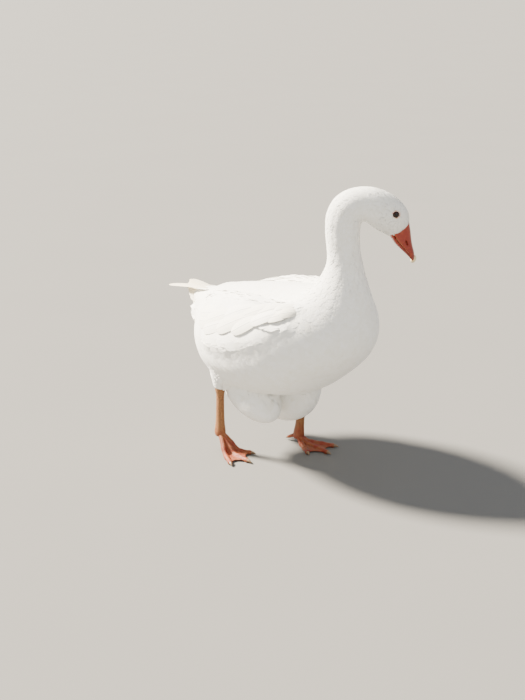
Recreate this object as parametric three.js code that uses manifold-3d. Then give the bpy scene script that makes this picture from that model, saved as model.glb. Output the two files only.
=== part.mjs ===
// Domestic goose, Embden type, walking with its neck arched and its bill pointing down.
// Millimetres, +X the way the goose walks, +Y its left side, +Z up, the floor at Z = 0.
import * as THREE from 'three';
import { mergeVertices } from 'three/addons/utils/BufferGeometryUtils.js';
import Module from 'manifold-3d';

const wasm = await Module();
wasm.setup();

// ---------------------------------------------------------------- driving dimensions

const GAP = 0.3; // clearance between neighbouring parts
const WELD = 1e-4; // points nearer than this are one point
const REACH = 1500; // side of a cutting block, larger than the goose
const NECK_X = 150; // the upright line that the head is turned about
const HEAD_TURN = THREE.MathUtils.degToRad(47); // to the goose's left
const TURN_FROM = 395; // height where the neck starts to turn
const TURN_TO = 472; // height where it has turned with the head
const BODY_POINTS = 20; // points round each section of the body
const RINGS_PER_STATION = 2;
const BALL_ASPECT = 0.7; // rings of a ball for each point round it

// A station joins a point of the upper outline to a point of the lower one, as (x, z)
// seen from the side, and gives half the width there.
const TRUNK_STATIONS = [
  { top: [-207, 294], low: [-209, 264], half: 14 },
  { top: [-198, 308], low: [-206, 218], half: 56 },
  { top: [-168, 320], low: [-183, 162], half: 92 },
  { top: [-120, 331], low: [-134, 134], half: 122 },
  { top: [-60, 343], low: [-66, 128], half: 140 },
  { top: [5, 353], low: [5, 134], half: 146 },
  { top: [55, 361], low: [72, 153], half: 140 },
  { top: [84, 369], low: [130, 193], half: 122 },
  { top: [98, 380], low: [176, 233], half: 98 },
  { top: [105, 394], low: [203, 276], half: 73 },
  { top: [111, 409], low: [203, 327], half: 52 },
];
const NECK_STATIONS = [
  { top: [116, 425], low: [187, 398], half: 36 },
  { top: [115, 452], low: [178, 440], half: 31 },
  { top: [112, 482], low: [175, 478], half: 30 },
  { top: [113, 510], low: [178, 497], half: 30 },
  { top: [126, 539], low: [181, 501], half: 30 },
  { top: [148, 555], low: [184, 500], half: 30 },
];
const HEAD_STATIONS = [
  { top: [170, 561], low: [188, 497], half: 30 },
  { top: [192, 561], low: [195, 491], half: 31 },
  { top: [213, 556], low: [205, 484], half: 32 },
  { top: [233, 546], low: [214, 479], half: 31 },
  { top: [250, 531], low: [222, 475], half: 27 },
  { top: [260, 514], low: [228, 472], half: 22 },
  { top: [262, 497], low: [230, 471], half: 18 },
];
const RUMP_CUT_X = -150;
const BREAST_CUT_X = 92;
const NECK_CUTS = [398, 440, 484]; // heights across the upright neck
const NAPE_CUT = { x: 175, z: 530, lean: THREE.MathUtils.degToRad(18) };

const UPPER_BILL_STATIONS = [
  { top: [262, 496], low: [235, 474.6], half: 17 },
  { top: [264.5, 483], low: [242, 466], half: 16 },
  { top: [266.5, 469], low: [250, 457], half: 14.5 },
  { top: [269, 456], low: [258.5, 447.5], half: 13 },
  { top: [272.5, 443.5], low: [265.5, 438.5], half: 11.5 },
  { top: [273.5, 433], low: [269, 430], half: 8 },
];
const LOWER_BILL_STATIONS = [
  { top: [239, 476], low: [230, 470.4], half: 15.5 },
  { top: [246, 467.5], low: [237, 460.5], half: 14 },
  { top: [254, 458.5], low: [246, 451.5], half: 12.5 },
  { top: [262, 449], low: [255.8, 442.4], half: 11 },
  { top: [267, 440.5], low: [263, 435], half: 8.5 },
];
const NAIL = { x: 272.3, z: 430.8, depth: 4.4, half: 6, length: 7, tilt: THREE.MathUtils.degToRad(20) };
const NAIL_POINTS = 10;
const NOSTRIL = { x: 259, z: 463, side: 13.4, length: 9, depth: 3.4, height: 2.2 };
const NOSTRIL_POINTS = 8;
const BILL_POINTS = 12;
const BILL_FULLNESS = 0.86; // below 1 squares the bill's section
const EYE = { x: 235, z: 517, side: 24, radius: 6.8 };
const EYE_POINTS = 10;

// The paunch hangs in two lobes between the legs.
const LOBES = {
  right: { x: -60, y: 42, z: 125.5, length: 80, width: 44, deep: 46, tilt: THREE.MathUtils.degToRad(26) },
  left: { x: -52, y: 38, z: 127, length: 100, width: 42, deep: 79, tilt: THREE.MathUtils.degToRad(-17) },
};
const LOBE_POINTS = 16;

// A folded wing, as sections along it: where its middle lies, its half height, how far
// it stands off the flank and how it leans in toward the back.
const WING_STATIONS = [
  { x: 134, y: 76, z: 328, height: 14, thick: 7, lean: 0.5 },
  { x: 112, y: 92, z: 322, height: 36, thick: 16, lean: 0.54 },
  { x: 60, y: 108, z: 306, height: 56, thick: 24, lean: 0.54 },
  { x: -10, y: 114, z: 293, height: 65, thick: 26, lean: 0.52 },
  { x: -75, y: 106, z: 283, height: 65, thick: 25, lean: 0.49 },
  { x: -135, y: 84, z: 273, height: 58, thick: 21, lean: 0.44 },
  { x: -183, y: 58, z: 265, height: 42, thick: 15, lean: 0.38 },
  { x: -218, y: 46, z: 260, height: 24, thick: 9, lean: 0.33 },
  { x: -242, y: 43, z: 256, height: 8, thick: 4, lean: 0.3 },
];
const WING_POINTS = 12;
const WING_FULLNESS = 0.95;

// The tail is a roof-shaped fan of joined feathers, and one long flight feather has
// slipped over it and sticks out behind.
const TAIL_FEATHERS = 8;
const TAIL_SPREAD = THREE.MathUtils.degToRad(17);
const TAIL_LIFT = THREE.MathUtils.degToRad(5);
const TAIL = {
  root: [-188, 0, 290], length: 118, outer: 0.68, side: 23, roof: 22,
  thick: 4, ridge: 1.4, notch: 0.09, columns: 3, rows: [0.1, 0.5, 0.85, 1],
};
const BLADE = { steps: 4, widest: 0.45, base: 0.55, tip: 0.12, round: 2.4, droop: 0.08 };
const COVERTS = [
  { top: [-180, 318], low: [-190, 215], half: 66 },
  { top: [-215, 303], low: [-224, 240], half: 50 },
  { top: [-246, 297], low: [-252, 262], half: 34 },
  { top: [-268, 295], low: [-271, 280], half: 16 },
];
const COVERT_POINTS = 8;
const FEATHER = {
  root: [-212, -26, 304], tip: [-331, -36, 289], width: 12, thick: 4, clear: 0.6,
};

// Legs: the right one trails and rolls over its toes, the left one carries the goose.
const RIGHT_LEG = { foot: [-102, -90], ankle: 36, slope: 46, lean: 2, inward: 1 };
const LEFT_LEG = { foot: [-27, 56], ankle: 13, slope: 26, lean: 14, inward: -1 };
const THIGH = {
  rise: 80, forward: 14, inward: 0.12, sleeve: 8, knee: 0.3, root: 31, end: 12.5, depth: 1.25,
};
const SHANK = { length: 108, bury: 4, depth: 1.1, cuff: 12 };
// Half widths of the shank at shares of its length, from the foot to the heel joint.
const SHANK_STATIONS = [
  { share: 0, half: 8 },
  { share: 0.09, half: 10 },
  { share: 0.24, half: 8 },
  { share: 0.7, half: 8 },
  { share: 0.86, half: 10.5 },
  { share: 1, half: 10.5 },
];
const TOES = [
  { name: 'inner', length: 68, angle: THREE.MathUtils.degToRad(27) },
  { name: 'middle', length: 86, angle: 0 },
  { name: 'outer', length: 79, angle: THREE.MathUtils.degToRad(-25) },
];
const TOE = { thick: 6, tip: 4.4, rest: 4.2, shares: [0, 0.22, 0.45, 0.66, 1] };
const WEB = { thick: 1.8, reach: 0.97, notch: 0.84, rows: 4, columns: 3 };
const HALLUX = {
  start: [-4, 4, 3], length: 17, side: 5, drop: 9, radius: 3.6, taper: 0.8, claw: 6, clawRoot: 2.5,
};
const CLAW = { length: 10, root: 3.4, middle: 2.7, tip: 0.7, sag: 0.4, drop: 1.6 };
const LIMB_POINTS = 8;
const CLAW_POINTS = 6;

const WHITE = { color: 0xfafaf4, roughness: 0.85, metalness: 0 };
const CREAM = { color: 0xefe6cf, roughness: 0.85, metalness: 0 };
const BILL_ORANGE = { color: 0xc0401a, roughness: 0.5, metalness: 0 };
const NAIL_IVORY = { color: 0xe8d8a8, roughness: 0.45, metalness: 0 };
const LEG_ORANGE = { color: 0xc8602c, roughness: 0.6, metalness: 0 };
const WEB_RED = { color: 0xc04818, roughness: 0.6, metalness: 0 };
const CLAW_HORN = { color: 0x5a4632, roughness: 0.45, metalness: 0 };
const EYE_DARK = { color: 0x200a05, roughness: 0.1, metalness: 0 };

// ---------------------------------------------------------------- solids

function toManifold(geometry) {
  const bare = geometry.clone();
  bare.deleteAttribute('normal');
  bare.deleteAttribute('uv');
  const merged = mergeVertices(bare, WELD);
  return new wasm.Manifold(new wasm.Mesh({
    numProp: 3,
    vertProperties: new Float32Array(merged.attributes.position.array),
    triVerts: new Uint32Array(merged.index.array),
  }));
}

function toGeometry(solid) {
  const mesh = solid.getMesh();
  const geometry = new THREE.BufferGeometry();
  geometry.setAttribute('position', new THREE.BufferAttribute(mesh.vertProperties, 3));
  geometry.setIndex(new THREE.BufferAttribute(mesh.triVerts, 1));
  geometry.computeVertexNormals();
  return geometry;
}

// Six times the volume inside the faces, below zero where they point inward.
function signedVolume(positions, faces) {
  const at = (k) => new THREE.Vector3().fromArray(positions, 3 * faces[k]);
  let sum = 0;
  for (let k = 0; k < faces.length; k += 3) {
    sum += at(k).dot(at(k + 1).cross(at(k + 2)));
  }
  return sum;
}

// Triangles that close a ring round its middle point.
function hubCap(positions, first, count) {
  const middle = new THREE.Vector3();
  for (let k = 0; k < count; k += 1) {
    const point = new THREE.Vector3().fromArray(positions, 3 * (first + k));
    middle.addScaledVector(point, 1 / count);
  }
  const hub = positions.length / 3;
  positions.push(...middle.toArray());
  const faces = [];
  for (let k = 0; k < count; k += 1) faces.push(hub, first + k, first + ((k + 1) % count));
  return faces;
}

// Triangles that close a long flat ring, whose second half runs back under the first.
function stripCap(positions, first, count) {
  const faces = [];
  for (let k = 0; k + 1 < count / 2; k += 1) {
    const above = first + k;
    const below = first + count - 1 - k;
    faces.push(above, above + 1, below, below, above + 1, below - 1);
  }
  return faces;
}

// Closed body through rings of points that all have the same count.
function loftGeometry(rings, cap = hubCap) {
  const count = rings[0].length;
  const positions = rings.flat().flatMap((point) => point.toArray());
  const faces = [];
  for (let ring = 0; ring + 1 < rings.length; ring += 1) {
    for (let k = 0; k < count; k += 1) {
      const a = ring * count + k;
      const b = ring * count + ((k + 1) % count);
      faces.push(a, b, b + count, a, b + count, a + count);
    }
  }
  faces.push(...cap(positions, 0, count).reverse());
  faces.push(...cap(positions, (rings.length - 1) * count, count));
  if (signedVolume(positions, faces) < 0) faces.reverse();
  const geometry = new THREE.BufferGeometry();
  geometry.setAttribute('position', new THREE.Float32BufferAttribute(positions, 3));
  geometry.setIndex(faces);
  return geometry;
}

// Signed power, which turns a circle into a fuller or leaner oval.
function bend(value, power) {
  return Math.sign(value) * Math.abs(value) ** power;
}

// Ring about a middle point from its upward and sideways half axes.
function ovalRing(middle, up, side, count, fullness = 1) {
  const ring = [];
  for (let k = 0; k < count; k += 1) {
    const angle = (2 * Math.PI * k) / count;
    const point = middle.clone();
    point.addScaledVector(up, bend(Math.cos(angle), fullness));
    point.addScaledVector(side, bend(Math.sin(angle), fullness));
    ring.push(point);
  }
  return ring;
}

function smoothCurve(points) {
  return new THREE.CatmullRomCurve3(points, false, 'centripetal');
}

// Turns what is drawn straight ahead to the goose's left, by an angle about the neck.
function turned(point, angle) {
  const axis = new THREE.Vector3(NECK_X, 0, 0);
  return point.clone().sub(axis).applyAxisAngle(new THREE.Vector3(0, 0, 1), angle).add(axis);
}

function turnAtHeight(z) {
  return HEAD_TURN * THREE.MathUtils.smoothstep(z, TURN_FROM, TURN_TO);
}

// Smooth rings through side-view stations; `grow` pushes the surface out all round.
function stationRings(stations, { count, perStation, fullness = 1, grow = 0, turn }) {
  const tops = smoothCurve(stations.map(({ top }) => new THREE.Vector3(top[0], 0, top[1])));
  const lows = smoothCurve(stations.map(({ low }) => new THREE.Vector3(low[0], 0, low[1])));
  const halves = smoothCurve(stations.map(({ half }, i) => new THREE.Vector3(half, i, 0)));
  const steps = (stations.length - 1) * perStation;
  const rings = [];
  for (let step = 0; step <= steps; step += 1) {
    const top = tops.getPoint(step / steps);
    const low = lows.getPoint(step / steps);
    const middle = top.clone().add(low).multiplyScalar(0.5);
    const up = top.clone().sub(middle);
    up.setLength(up.length() + grow);
    const side = new THREE.Vector3(0, -(halves.getPoint(step / steps).x + grow), 0);
    const angle = turn(middle.z);
    const ring = ovalRing(middle, up, side, count, fullness);
    rings.push(ring.map((point) => turned(point, angle)));
  }
  return rings;
}

// Block whose face passes through `point`, filling the space that `facing` points into.
function halfSpace(point, facing) {
  const block = new THREE.BoxGeometry(REACH, REACH, REACH);
  block.translate(0, 0, REACH / 2);
  const up = new THREE.Vector3(0, 0, 1);
  const turn = new THREE.Quaternion().setFromUnitVectors(up, facing.clone().normalize());
  block.applyQuaternion(turn);
  block.translate(point.x, point.y, point.z);
  return toManifold(block);
}

// Parts a solid at a plane: what lies behind it, then what lies ahead of it.
function splitAt(solid, point, facing) {
  const shift = facing.clone().normalize().multiplyScalar(GAP / 2);
  const behind = solid.subtract(halfSpace(point.clone().sub(shift), facing));
  const ahead = solid.subtract(halfSpace(point.clone().add(shift), facing.clone().negate()));
  return [behind, ahead];
}

function ellipsoid(radii, centre, segments) {
  const ball = new THREE.SphereGeometry(1, segments, Math.round(segments * BALL_ASPECT));
  ball.scale(radii.x, radii.y, radii.z);
  ball.translate(centre.x, centre.y, centre.z);
  return ball;
}

// ---------------------------------------------------------------- body, neck and head

const goose = new THREE.Group();

function add(name, solid, finish) {
  const mesh = new THREE.Mesh(toGeometry(solid), new THREE.MeshStandardMaterial(finish));
  mesh.name = name;
  goose.add(mesh);
  return mesh;
}

function wholeBody(grow) {
  const stations = [...TRUNK_STATIONS, ...NECK_STATIONS, ...HEAD_STATIONS];
  const options = { count: BODY_POINTS, perStation: RINGS_PER_STATION, grow };
  return toManifold(loftGeometry(stationRings(stations, { ...options, turn: turnAtHeight })));
}

const SIDES = [
  { name: 'right', sign: -1 },
  { name: 'left', sign: 1 },
];
const AHEAD = new THREE.Vector3(1, 0, 0);
const UPWARD = new THREE.Vector3(0, 0, 1);

function headPoint(x, side, z) {
  return turned(new THREE.Vector3(x, side, z), HEAD_TURN);
}

const body = wholeBody(0);
const bodyClear = wholeBody(GAP);

function addFlesh() {
  const onNeck = (z) => new THREE.Vector3(NECK_X, 0, z);
  const [low, aboveFirst] = splitAt(body, onNeck(NECK_CUTS[0]), UPWARD);
  const [rump, front] = splitAt(low, new THREE.Vector3(RUMP_CUT_X, 0, 0), AHEAD);
  const [trunk, breast] = splitAt(front, new THREE.Vector3(BREAST_CUT_X, 0, 0), AHEAD);
  add('rump', rump, WHITE);
  add('trunk', trunk, WHITE);
  add('breast', breast, WHITE);

  const nape = new THREE.Vector3(Math.cos(NAPE_CUT.lean), 0, Math.sin(NAPE_CUT.lean));
  nape.applyAxisAngle(UPWARD, HEAD_TURN);
  const [arch, head] = splitAt(aboveFirst, headPoint(NAPE_CUT.x, 0, NAPE_CUT.z), nape);
  const [neckLower, aboveSecond] = splitAt(arch, onNeck(NECK_CUTS[1]), UPWARD);
  const [neckMiddle, neckUpper] = splitAt(aboveSecond, onNeck(NECK_CUTS[2]), UPWARD);
  add('neck_lower', neckLower, WHITE);
  add('neck_middle', neckMiddle, WHITE);
  add('neck_upper', neckUpper, WHITE);

  let socketed = head;
  for (const { sign } of SIDES) {
    const centre = headPoint(EYE.x, sign * EYE.side, EYE.z);
    const radius = EYE.radius + GAP;
    const socket = ellipsoid(new THREE.Vector3(radius, radius, radius), centre, EYE_POINTS);
    socketed = socketed.subtract(toManifold(socket));
  }
  add('head', socketed, WHITE);
}

function addEyes() {
  for (const { name, sign } of SIDES) {
    const radii = new THREE.Vector3(EYE.radius, EYE.radius, EYE.radius);
    const ball = ellipsoid(radii, headPoint(EYE.x, sign * EYE.side, EYE.z), EYE_POINTS);
    add(`eye_${name}`, toManifold(ball), EYE_DARK);
  }
}

function billLoft(stations, grow = 0) {
  const options = { count: BILL_POINTS, perStation: RINGS_PER_STATION, fullness: BILL_FULLNESS, grow };
  return toManifold(loftGeometry(stationRings(stations, { ...options, turn: () => HEAD_TURN })));
}

// A ball lying in the head's own frame, tipped forward and placed on the bill.
function onBill(radii, tilt, centre, points) {
  const ball = ellipsoid(radii, new THREE.Vector3(), points);
  ball.rotateY(tilt);
  ball.rotateZ(HEAD_TURN);
  ball.translate(centre.x, centre.y, centre.z);
  return toManifold(ball);
}

function nailBall(grow) {
  const radii = new THREE.Vector3(NAIL.depth + grow, NAIL.half + grow, NAIL.length + grow);
  return onBill(radii, NAIL.tilt, headPoint(NAIL.x, 0, NAIL.z), NAIL_POINTS);
}

function addBill() {
  let upper = billLoft(UPPER_BILL_STATIONS).subtract(nailBall(GAP)).subtract(bodyClear);
  for (const { sign } of SIDES) {
    const radii = new THREE.Vector3(NOSTRIL.height, NOSTRIL.depth, NOSTRIL.length / 2);
    const centre = headPoint(NOSTRIL.x, sign * NOSTRIL.side, NOSTRIL.z);
    upper = upper.subtract(onBill(radii, 0, centre, NOSTRIL_POINTS));
  }
  const lower = billLoft(LOWER_BILL_STATIONS).subtract(bodyClear);
  add('bill_upper', upper, BILL_ORANGE);
  add('bill_lower', lower.subtract(billLoft(UPPER_BILL_STATIONS, GAP)), BILL_ORANGE);
  add('bill_nail', nailBall(0), NAIL_IVORY);
}

// ---------------------------------------------------------------- paunch, wings, tail

function addPaunch() {
  for (const { name, sign } of SIDES) {
    const lobe = LOBES[name];
    const radii = new THREE.Vector3(lobe.length, lobe.width, lobe.deep);
    const ball = ellipsoid(radii, new THREE.Vector3(), LOBE_POINTS);
    ball.rotateY(lobe.tilt);
    ball.translate(lobe.x, sign * lobe.y, lobe.z);
    const outside = toManifold(ball).subtract(bodyClear);
    const across = halfSpace(new THREE.Vector3(0, sign * GAP / 2, 0), new THREE.Vector3(0, -sign, 0));
    add(`paunch_${name}`, outside.subtract(across).subtract(legs[name].clear), WHITE);
  }
}

function wingLoft(sign, grow) {
  const pick = (read) => smoothCurve(WING_STATIONS.map(read));
  const middles = pick(({ x, y, z }) => new THREE.Vector3(x, sign * y, z));
  const sizes = pick(({ height, thick, x }) => new THREE.Vector3(height, thick, x));
  const leans = pick(({ lean, x }) => new THREE.Vector3(lean, x, 0));
  const steps = (WING_STATIONS.length - 1) * RINGS_PER_STATION;
  const rings = [];
  for (let step = 0; step <= steps; step += 1) {
    const size = sizes.getPoint(step / steps);
    const lean = leans.getPoint(step / steps).x;
    const up = new THREE.Vector3(0, -sign * Math.sin(lean), Math.cos(lean));
    const out = new THREE.Vector3(0, Math.cos(lean), sign * Math.sin(lean));
    up.multiplyScalar(size.x + grow);
    out.multiplyScalar(size.y + grow);
    rings.push(ovalRing(middles.getPoint(step / steps), up, out, WING_POINTS, WING_FULLNESS));
  }
  return toManifold(loftGeometry(rings));
}

// Thin closed sheet over a grid of points: rows along it, columns across it.
function sheetGeometry(grid, thick) {
  const rings = grid.map((row) => {
    const above = row.map((point) => point.clone().add(new THREE.Vector3(0, 0, thick / 2)));
    const below = row.map((point) => point.clone().add(new THREE.Vector3(0, 0, -thick / 2)));
    return [...above, ...below.reverse()];
  });
  return loftGeometry(rings, stripCap);
}

// Half width of a feather blade at a share of its length, round at the tip.
function bladeHalf(share, width) {
  const opening = Math.sin((Math.PI / 2) * Math.min(1, share / BLADE.widest));
  const closing = Math.max(0, (share - BLADE.widest) / (1 - BLADE.widest));
  const rise = THREE.MathUtils.lerp(BLADE.base, 1, opening);
  const fall = Math.sqrt(1 - closing ** BLADE.round);
  return Math.max(BLADE.tip, rise * fall) * (width / 2);
}

function bladeGeometry({ length, width, thick }) {
  const grid = [];
  for (let step = 0; step <= BLADE.steps; step += 1) {
    const share = Math.sin((Math.PI / 2) * (step / BLADE.steps));
    const half = bladeHalf(share, width);
    const row = [-1, 0, 1].map((across) => new THREE.Vector3(
      share * length, across * half, -Math.abs(across) * half * BLADE.droop));
    grid.push(row);
  }
  return sheetGeometry(grid, thick);
}

// A point of the tail fan: `out` runs from one side (-1) to the other (1), `share` from
// the quills (0) to the tips (1). Each feather is a shallow ridge with a round tip.
function tailPoint(out, share) {
  const place = ((out + 1) / 2) * TAIL_FEATHERS;
  const across = 2 * (place - Math.min(Math.floor(place), TAIL_FEATHERS - 1)) - 1;
  const length = TAIL.length * (1 - (1 - TAIL.outer) * out * out);
  const reach = share * length * (1 - TAIL.notch * share * across * across);
  const drop = TAIL.roof * out * out + TAIL.ridge * across * across;
  const angle = Math.PI - out * TAIL_SPREAD;
  return new THREE.Vector3(
    TAIL.root[0] + reach * Math.cos(angle),
    TAIL.root[1] + out * TAIL.side + reach * Math.sin(angle),
    TAIL.root[2] + reach * Math.sin(TAIL_LIFT) - drop);
}

function tailFan(grow = 0) {
  const grid = [];
  const columns = TAIL_FEATHERS * TAIL.columns;
  for (const share of TAIL.rows) {
    const line = [];
    for (let column = 0; column <= columns; column += 1) {
      line.push(tailPoint((2 * column) / columns - 1, share));
    }
    grid.push(line);
  }
  return toManifold(sheetGeometry(grid, TAIL.thick + 2 * grow));
}

function tailCoverts(grow) {
  const options = { count: COVERT_POINTS, perStation: RINGS_PER_STATION, turn: () => 0, grow };
  return toManifold(loftGeometry(stationRings(COVERTS, options)));
}

// The long flight feather lies on the tail, from under the wing.
function flightFeather() {
  const root = new THREE.Vector3(...FEATHER.root);
  const way = new THREE.Vector3(...FEATHER.tip).sub(root);
  const blade = bladeGeometry({ ...FEATHER, length: way.length() });
  const along = new THREE.Vector3(1, 0, 0);
  blade.applyQuaternion(new THREE.Quaternion().setFromUnitVectors(along, way.normalize()));
  blade.translate(root.x, root.y, root.z);
  return toManifold(blade);
}

function addWingsAndTail() {
  for (const { name, sign } of SIDES) {
    add(`wing_${name}`, wingLoft(sign, 0).subtract(bodyClear), WHITE);
  }
  const ahead = bodyClear.add(wingLoft(1, GAP)).add(wingLoft(-1, GAP));
  const aheadOfTail = ahead.add(tailCoverts(GAP));
  add('tail_coverts', tailCoverts(0).subtract(ahead), WHITE);
  add('tail', tailFan().subtract(aheadOfTail), CREAM);
  const feather = flightFeather().subtract(aheadOfTail).subtract(tailFan(FEATHER.clear));
  add('flight_feather', feather, CREAM);
}

// A straight or bent limb through named middles, each with its half sizes.
function limb(joints, count = LIMB_POINTS) {
  const rings = joints.map(({ at, up, side }) => ovalRing(at, up, side, count));
  return toManifold(loftGeometry(rings));
}

// ---------------------------------------------------------------- legs and feet

const FLOOR = halfSpace(new THREE.Vector3(0, 0, 0), new THREE.Vector3(0, 0, -1));

// Height of a toe's middle above the floor at a distance from the ankle.
function toeHeight(leg, distance) {
  return TOE.rest + (leg.ankle - TOE.rest) * (1 - THREE.MathUtils.smoothstep(distance, 0, leg.slope));
}

function toePoint(leg, angle, distance) {
  return new THREE.Vector3(
    leg.foot[0] + distance * Math.cos(angle),
    leg.foot[1] + leg.inward * distance * Math.sin(angle),
    toeHeight(leg, distance));
}

function toeJoint(leg, angle, distance, radius) {
  const across = new THREE.Vector3(-Math.sin(angle), leg.inward * Math.cos(angle), 0);
  return {
    at: toePoint(leg, angle, distance),
    up: new THREE.Vector3(0, 0, radius),
    side: across.multiplyScalar(radius),
  };
}

function toeSolid(leg, toe) {
  const joints = TOE.shares.map((share) => {
    const radius = THREE.MathUtils.lerp(TOE.thick, TOE.tip, share);
    return toeJoint(leg, toe.angle, share * toe.length, radius);
  });
  return limb(joints);
}

function clawSolid(leg, toe) {
  const root = toeJoint(leg, toe.angle, toe.length + GAP, CLAW.root);
  const middle = toeJoint(leg, toe.angle, toe.length + CLAW.length / 2, CLAW.middle);
  const tip = toeJoint(leg, toe.angle, toe.length + CLAW.length, CLAW.tip);
  middle.at.z -= CLAW.sag;
  tip.at.z -= CLAW.drop;
  return limb([root, middle, tip], CLAW_POINTS);
}

// Reach of the web at a share of the way from one toe to the next.
function webReach(from, to, share) {
  const full = THREE.MathUtils.lerp(from.length, to.length, share) * WEB.reach;
  return full * (1 - (1 - WEB.notch) * Math.sin(Math.PI * share));
}

function webSolid(leg) {
  const columns = [];
  for (let toe = 0; toe + 1 < TOES.length; toe += 1) {
    for (let k = toe === 0 ? 0 : 1; k <= WEB.columns; k += 1) {
      const share = k / WEB.columns;
      const angle = THREE.MathUtils.lerp(TOES[toe].angle, TOES[toe + 1].angle, share);
      columns.push({ angle, reach: webReach(TOES[toe], TOES[toe + 1], share) });
    }
  }
  const grid = [];
  for (let row = 1; row <= WEB.rows; row += 1) {
    const share = row / WEB.rows;
    grid.push(columns.map(({ angle, reach }) => toePoint(leg, angle, share * reach)));
  }
  return toManifold(sheetGeometry(grid, WEB.thick));
}

// The small hind toe: a function giving its joint at a share of its length.
function halluxJoint(leg) {
  const [back, out, rise] = HALLUX.start;
  const start = new THREE.Vector3(
    leg.foot[0] + back, leg.foot[1] + leg.inward * out, leg.ankle + rise);
  const way = new THREE.Vector3(-HALLUX.length, leg.inward * HALLUX.side, -HALLUX.drop);
  return (share, radius) => ({
    at: start.clone().addScaledVector(way, share),
    up: new THREE.Vector3(0, 0, radius),
    side: new THREE.Vector3(0, radius, 0),
  });
}

function shankJoints(leg, grow) {
  return SHANK_STATIONS.map(({ share, half }) => ({
    at: new THREE.Vector3(
      leg.foot[0] + leg.lean * share, leg.foot[1],
      leg.ankle - SHANK.bury + (SHANK.length + SHANK.bury) * share),
    up: new THREE.Vector3((half + grow) * SHANK.depth, 0, 0),
    side: new THREE.Vector3(0, half + grow, 0),
  }));
}

function thighJoints(leg, grow) {
  const low = leg.ankle + SHANK.length - THIGH.sleeve;
  const joint = (share, radius) => ({
    at: new THREE.Vector3(
      leg.foot[0] + leg.lean + THIGH.forward * share,
      leg.foot[1] * (1 - THIGH.inward * share), low + THIGH.rise * share),
    up: new THREE.Vector3((radius + grow) * THIGH.depth, 0, 0),
    side: new THREE.Vector3(0, radius + grow, 0),
  });
  const kneeHalf = (THIGH.end + THIGH.root) / 2;
  return [joint(0, THIGH.end), joint(THIGH.knee, kneeHalf), joint(1, THIGH.root)];
}

function halluxClaw(leg) {
  const joint = halluxJoint(leg);
  const root = joint(1 + GAP / HALLUX.length, HALLUX.clawRoot);
  const tip = joint(1 + HALLUX.claw / HALLUX.length, CLAW.tip);
  return limb([root, tip], CLAW_POINTS);
}

function buildLeg(leg) {
  const hallux = halluxJoint(leg);
  let whole = limb(shankJoints(leg, 0)).add(webSolid(leg));
  for (const toe of TOES) whole = whole.add(toeSolid(leg, toe));
  whole = whole.add(limb([hallux(0, HALLUX.radius), hallux(1, HALLUX.radius * HALLUX.taper)]));
  whole = whole.subtract(FLOOR);
  const cuff = new THREE.Vector3(leg.foot[0], leg.foot[1], leg.ankle + SHANK.cuff);
  const [foot, shank] = splitAt(whole, cuff, UPWARD);
  const shankClear = limb(shankJoints(leg, GAP));
  const thigh = limb(thighJoints(leg, 0)).subtract(shankClear).subtract(bodyClear);
  const clear = shankClear.add(limb(thighJoints(leg, GAP)));
  const claws = TOES.map((toe) => ({ name: toe.name, solid: clawSolid(leg, toe) }));
  claws.push({ name: 'hallux', solid: halluxClaw(leg) });
  return { foot, shank, thigh, claws, clear };
}

function addLegs() {
  for (const [name, { foot, shank, thigh, claws }] of Object.entries(legs)) {
    add(`thigh_${name}`, thigh, WHITE);
    add(`shank_${name}`, shank, LEG_ORANGE);
    add(`foot_${name}`, foot, WEB_RED);
    for (const claw of claws) add(`claw_${name}_${claw.name}`, claw.solid, CLAW_HORN);
  }
}

const legs = { right: buildLeg(RIGHT_LEG), left: buildLeg(LEFT_LEG) };

addFlesh();
addEyes();
addBill();
addPaunch();
addWingsAndTail();
addLegs();

// The goose stands on the floor with the origin under the middle of its box.
const box = new THREE.Box3().setFromObject(goose);
const middle = box.getCenter(new THREE.Vector3());
goose.position.set(-middle.x, -middle.y, -box.min.z);

export default goose;
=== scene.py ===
import logging
import math
from collections.abc import Callable
from dataclasses import dataclass
from enum import Enum

import bpy
import numpy as np
from mathutils import Euler, Matrix, Vector
from mathutils.bvhtree import BVHTree
from mathutils.kdtree import KDTree


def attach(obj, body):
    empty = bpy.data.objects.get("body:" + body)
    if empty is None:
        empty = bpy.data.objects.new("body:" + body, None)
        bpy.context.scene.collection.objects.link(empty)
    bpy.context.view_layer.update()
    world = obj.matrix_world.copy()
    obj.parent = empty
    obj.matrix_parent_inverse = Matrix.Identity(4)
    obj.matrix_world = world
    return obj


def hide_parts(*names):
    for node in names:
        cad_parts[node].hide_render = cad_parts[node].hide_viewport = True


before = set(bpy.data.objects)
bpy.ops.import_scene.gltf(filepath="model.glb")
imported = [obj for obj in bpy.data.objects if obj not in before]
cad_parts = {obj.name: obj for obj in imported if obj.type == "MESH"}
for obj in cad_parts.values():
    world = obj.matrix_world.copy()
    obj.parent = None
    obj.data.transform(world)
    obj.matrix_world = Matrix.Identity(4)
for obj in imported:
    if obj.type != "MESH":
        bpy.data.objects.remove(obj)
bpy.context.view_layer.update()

LOG = logging.getLogger("goose")
OWN_FRAME_X = 45.7057  # where the goose's own frame starts in the solids' frame
METRE = 1000.0  # millimetres
NECK_X = 150.0  # where the upright line stands that the neck turns about
WING_TIP = (-240.0, 45.0, 258.0)  # rear end of the left wing's form
HEAD_TURN = math.radians(47.0)
TURN_FROM = 395.0  # height where the neck starts to turn
TURN_TO = 472.0  # height where it has turned by HEAD_TURN
BAKE_MAP = "OFBake"
VANE_MAP = "Vane"
VECTOR_MATHS = "ShaderNodeVectorMath"
BAKE_PATCH = 0.003  # size of one feather's patch on the skin's unwrap

Points = np.ndarray
Piece = bpy.types.Object
Socket = bpy.types.NodeSocket


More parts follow.
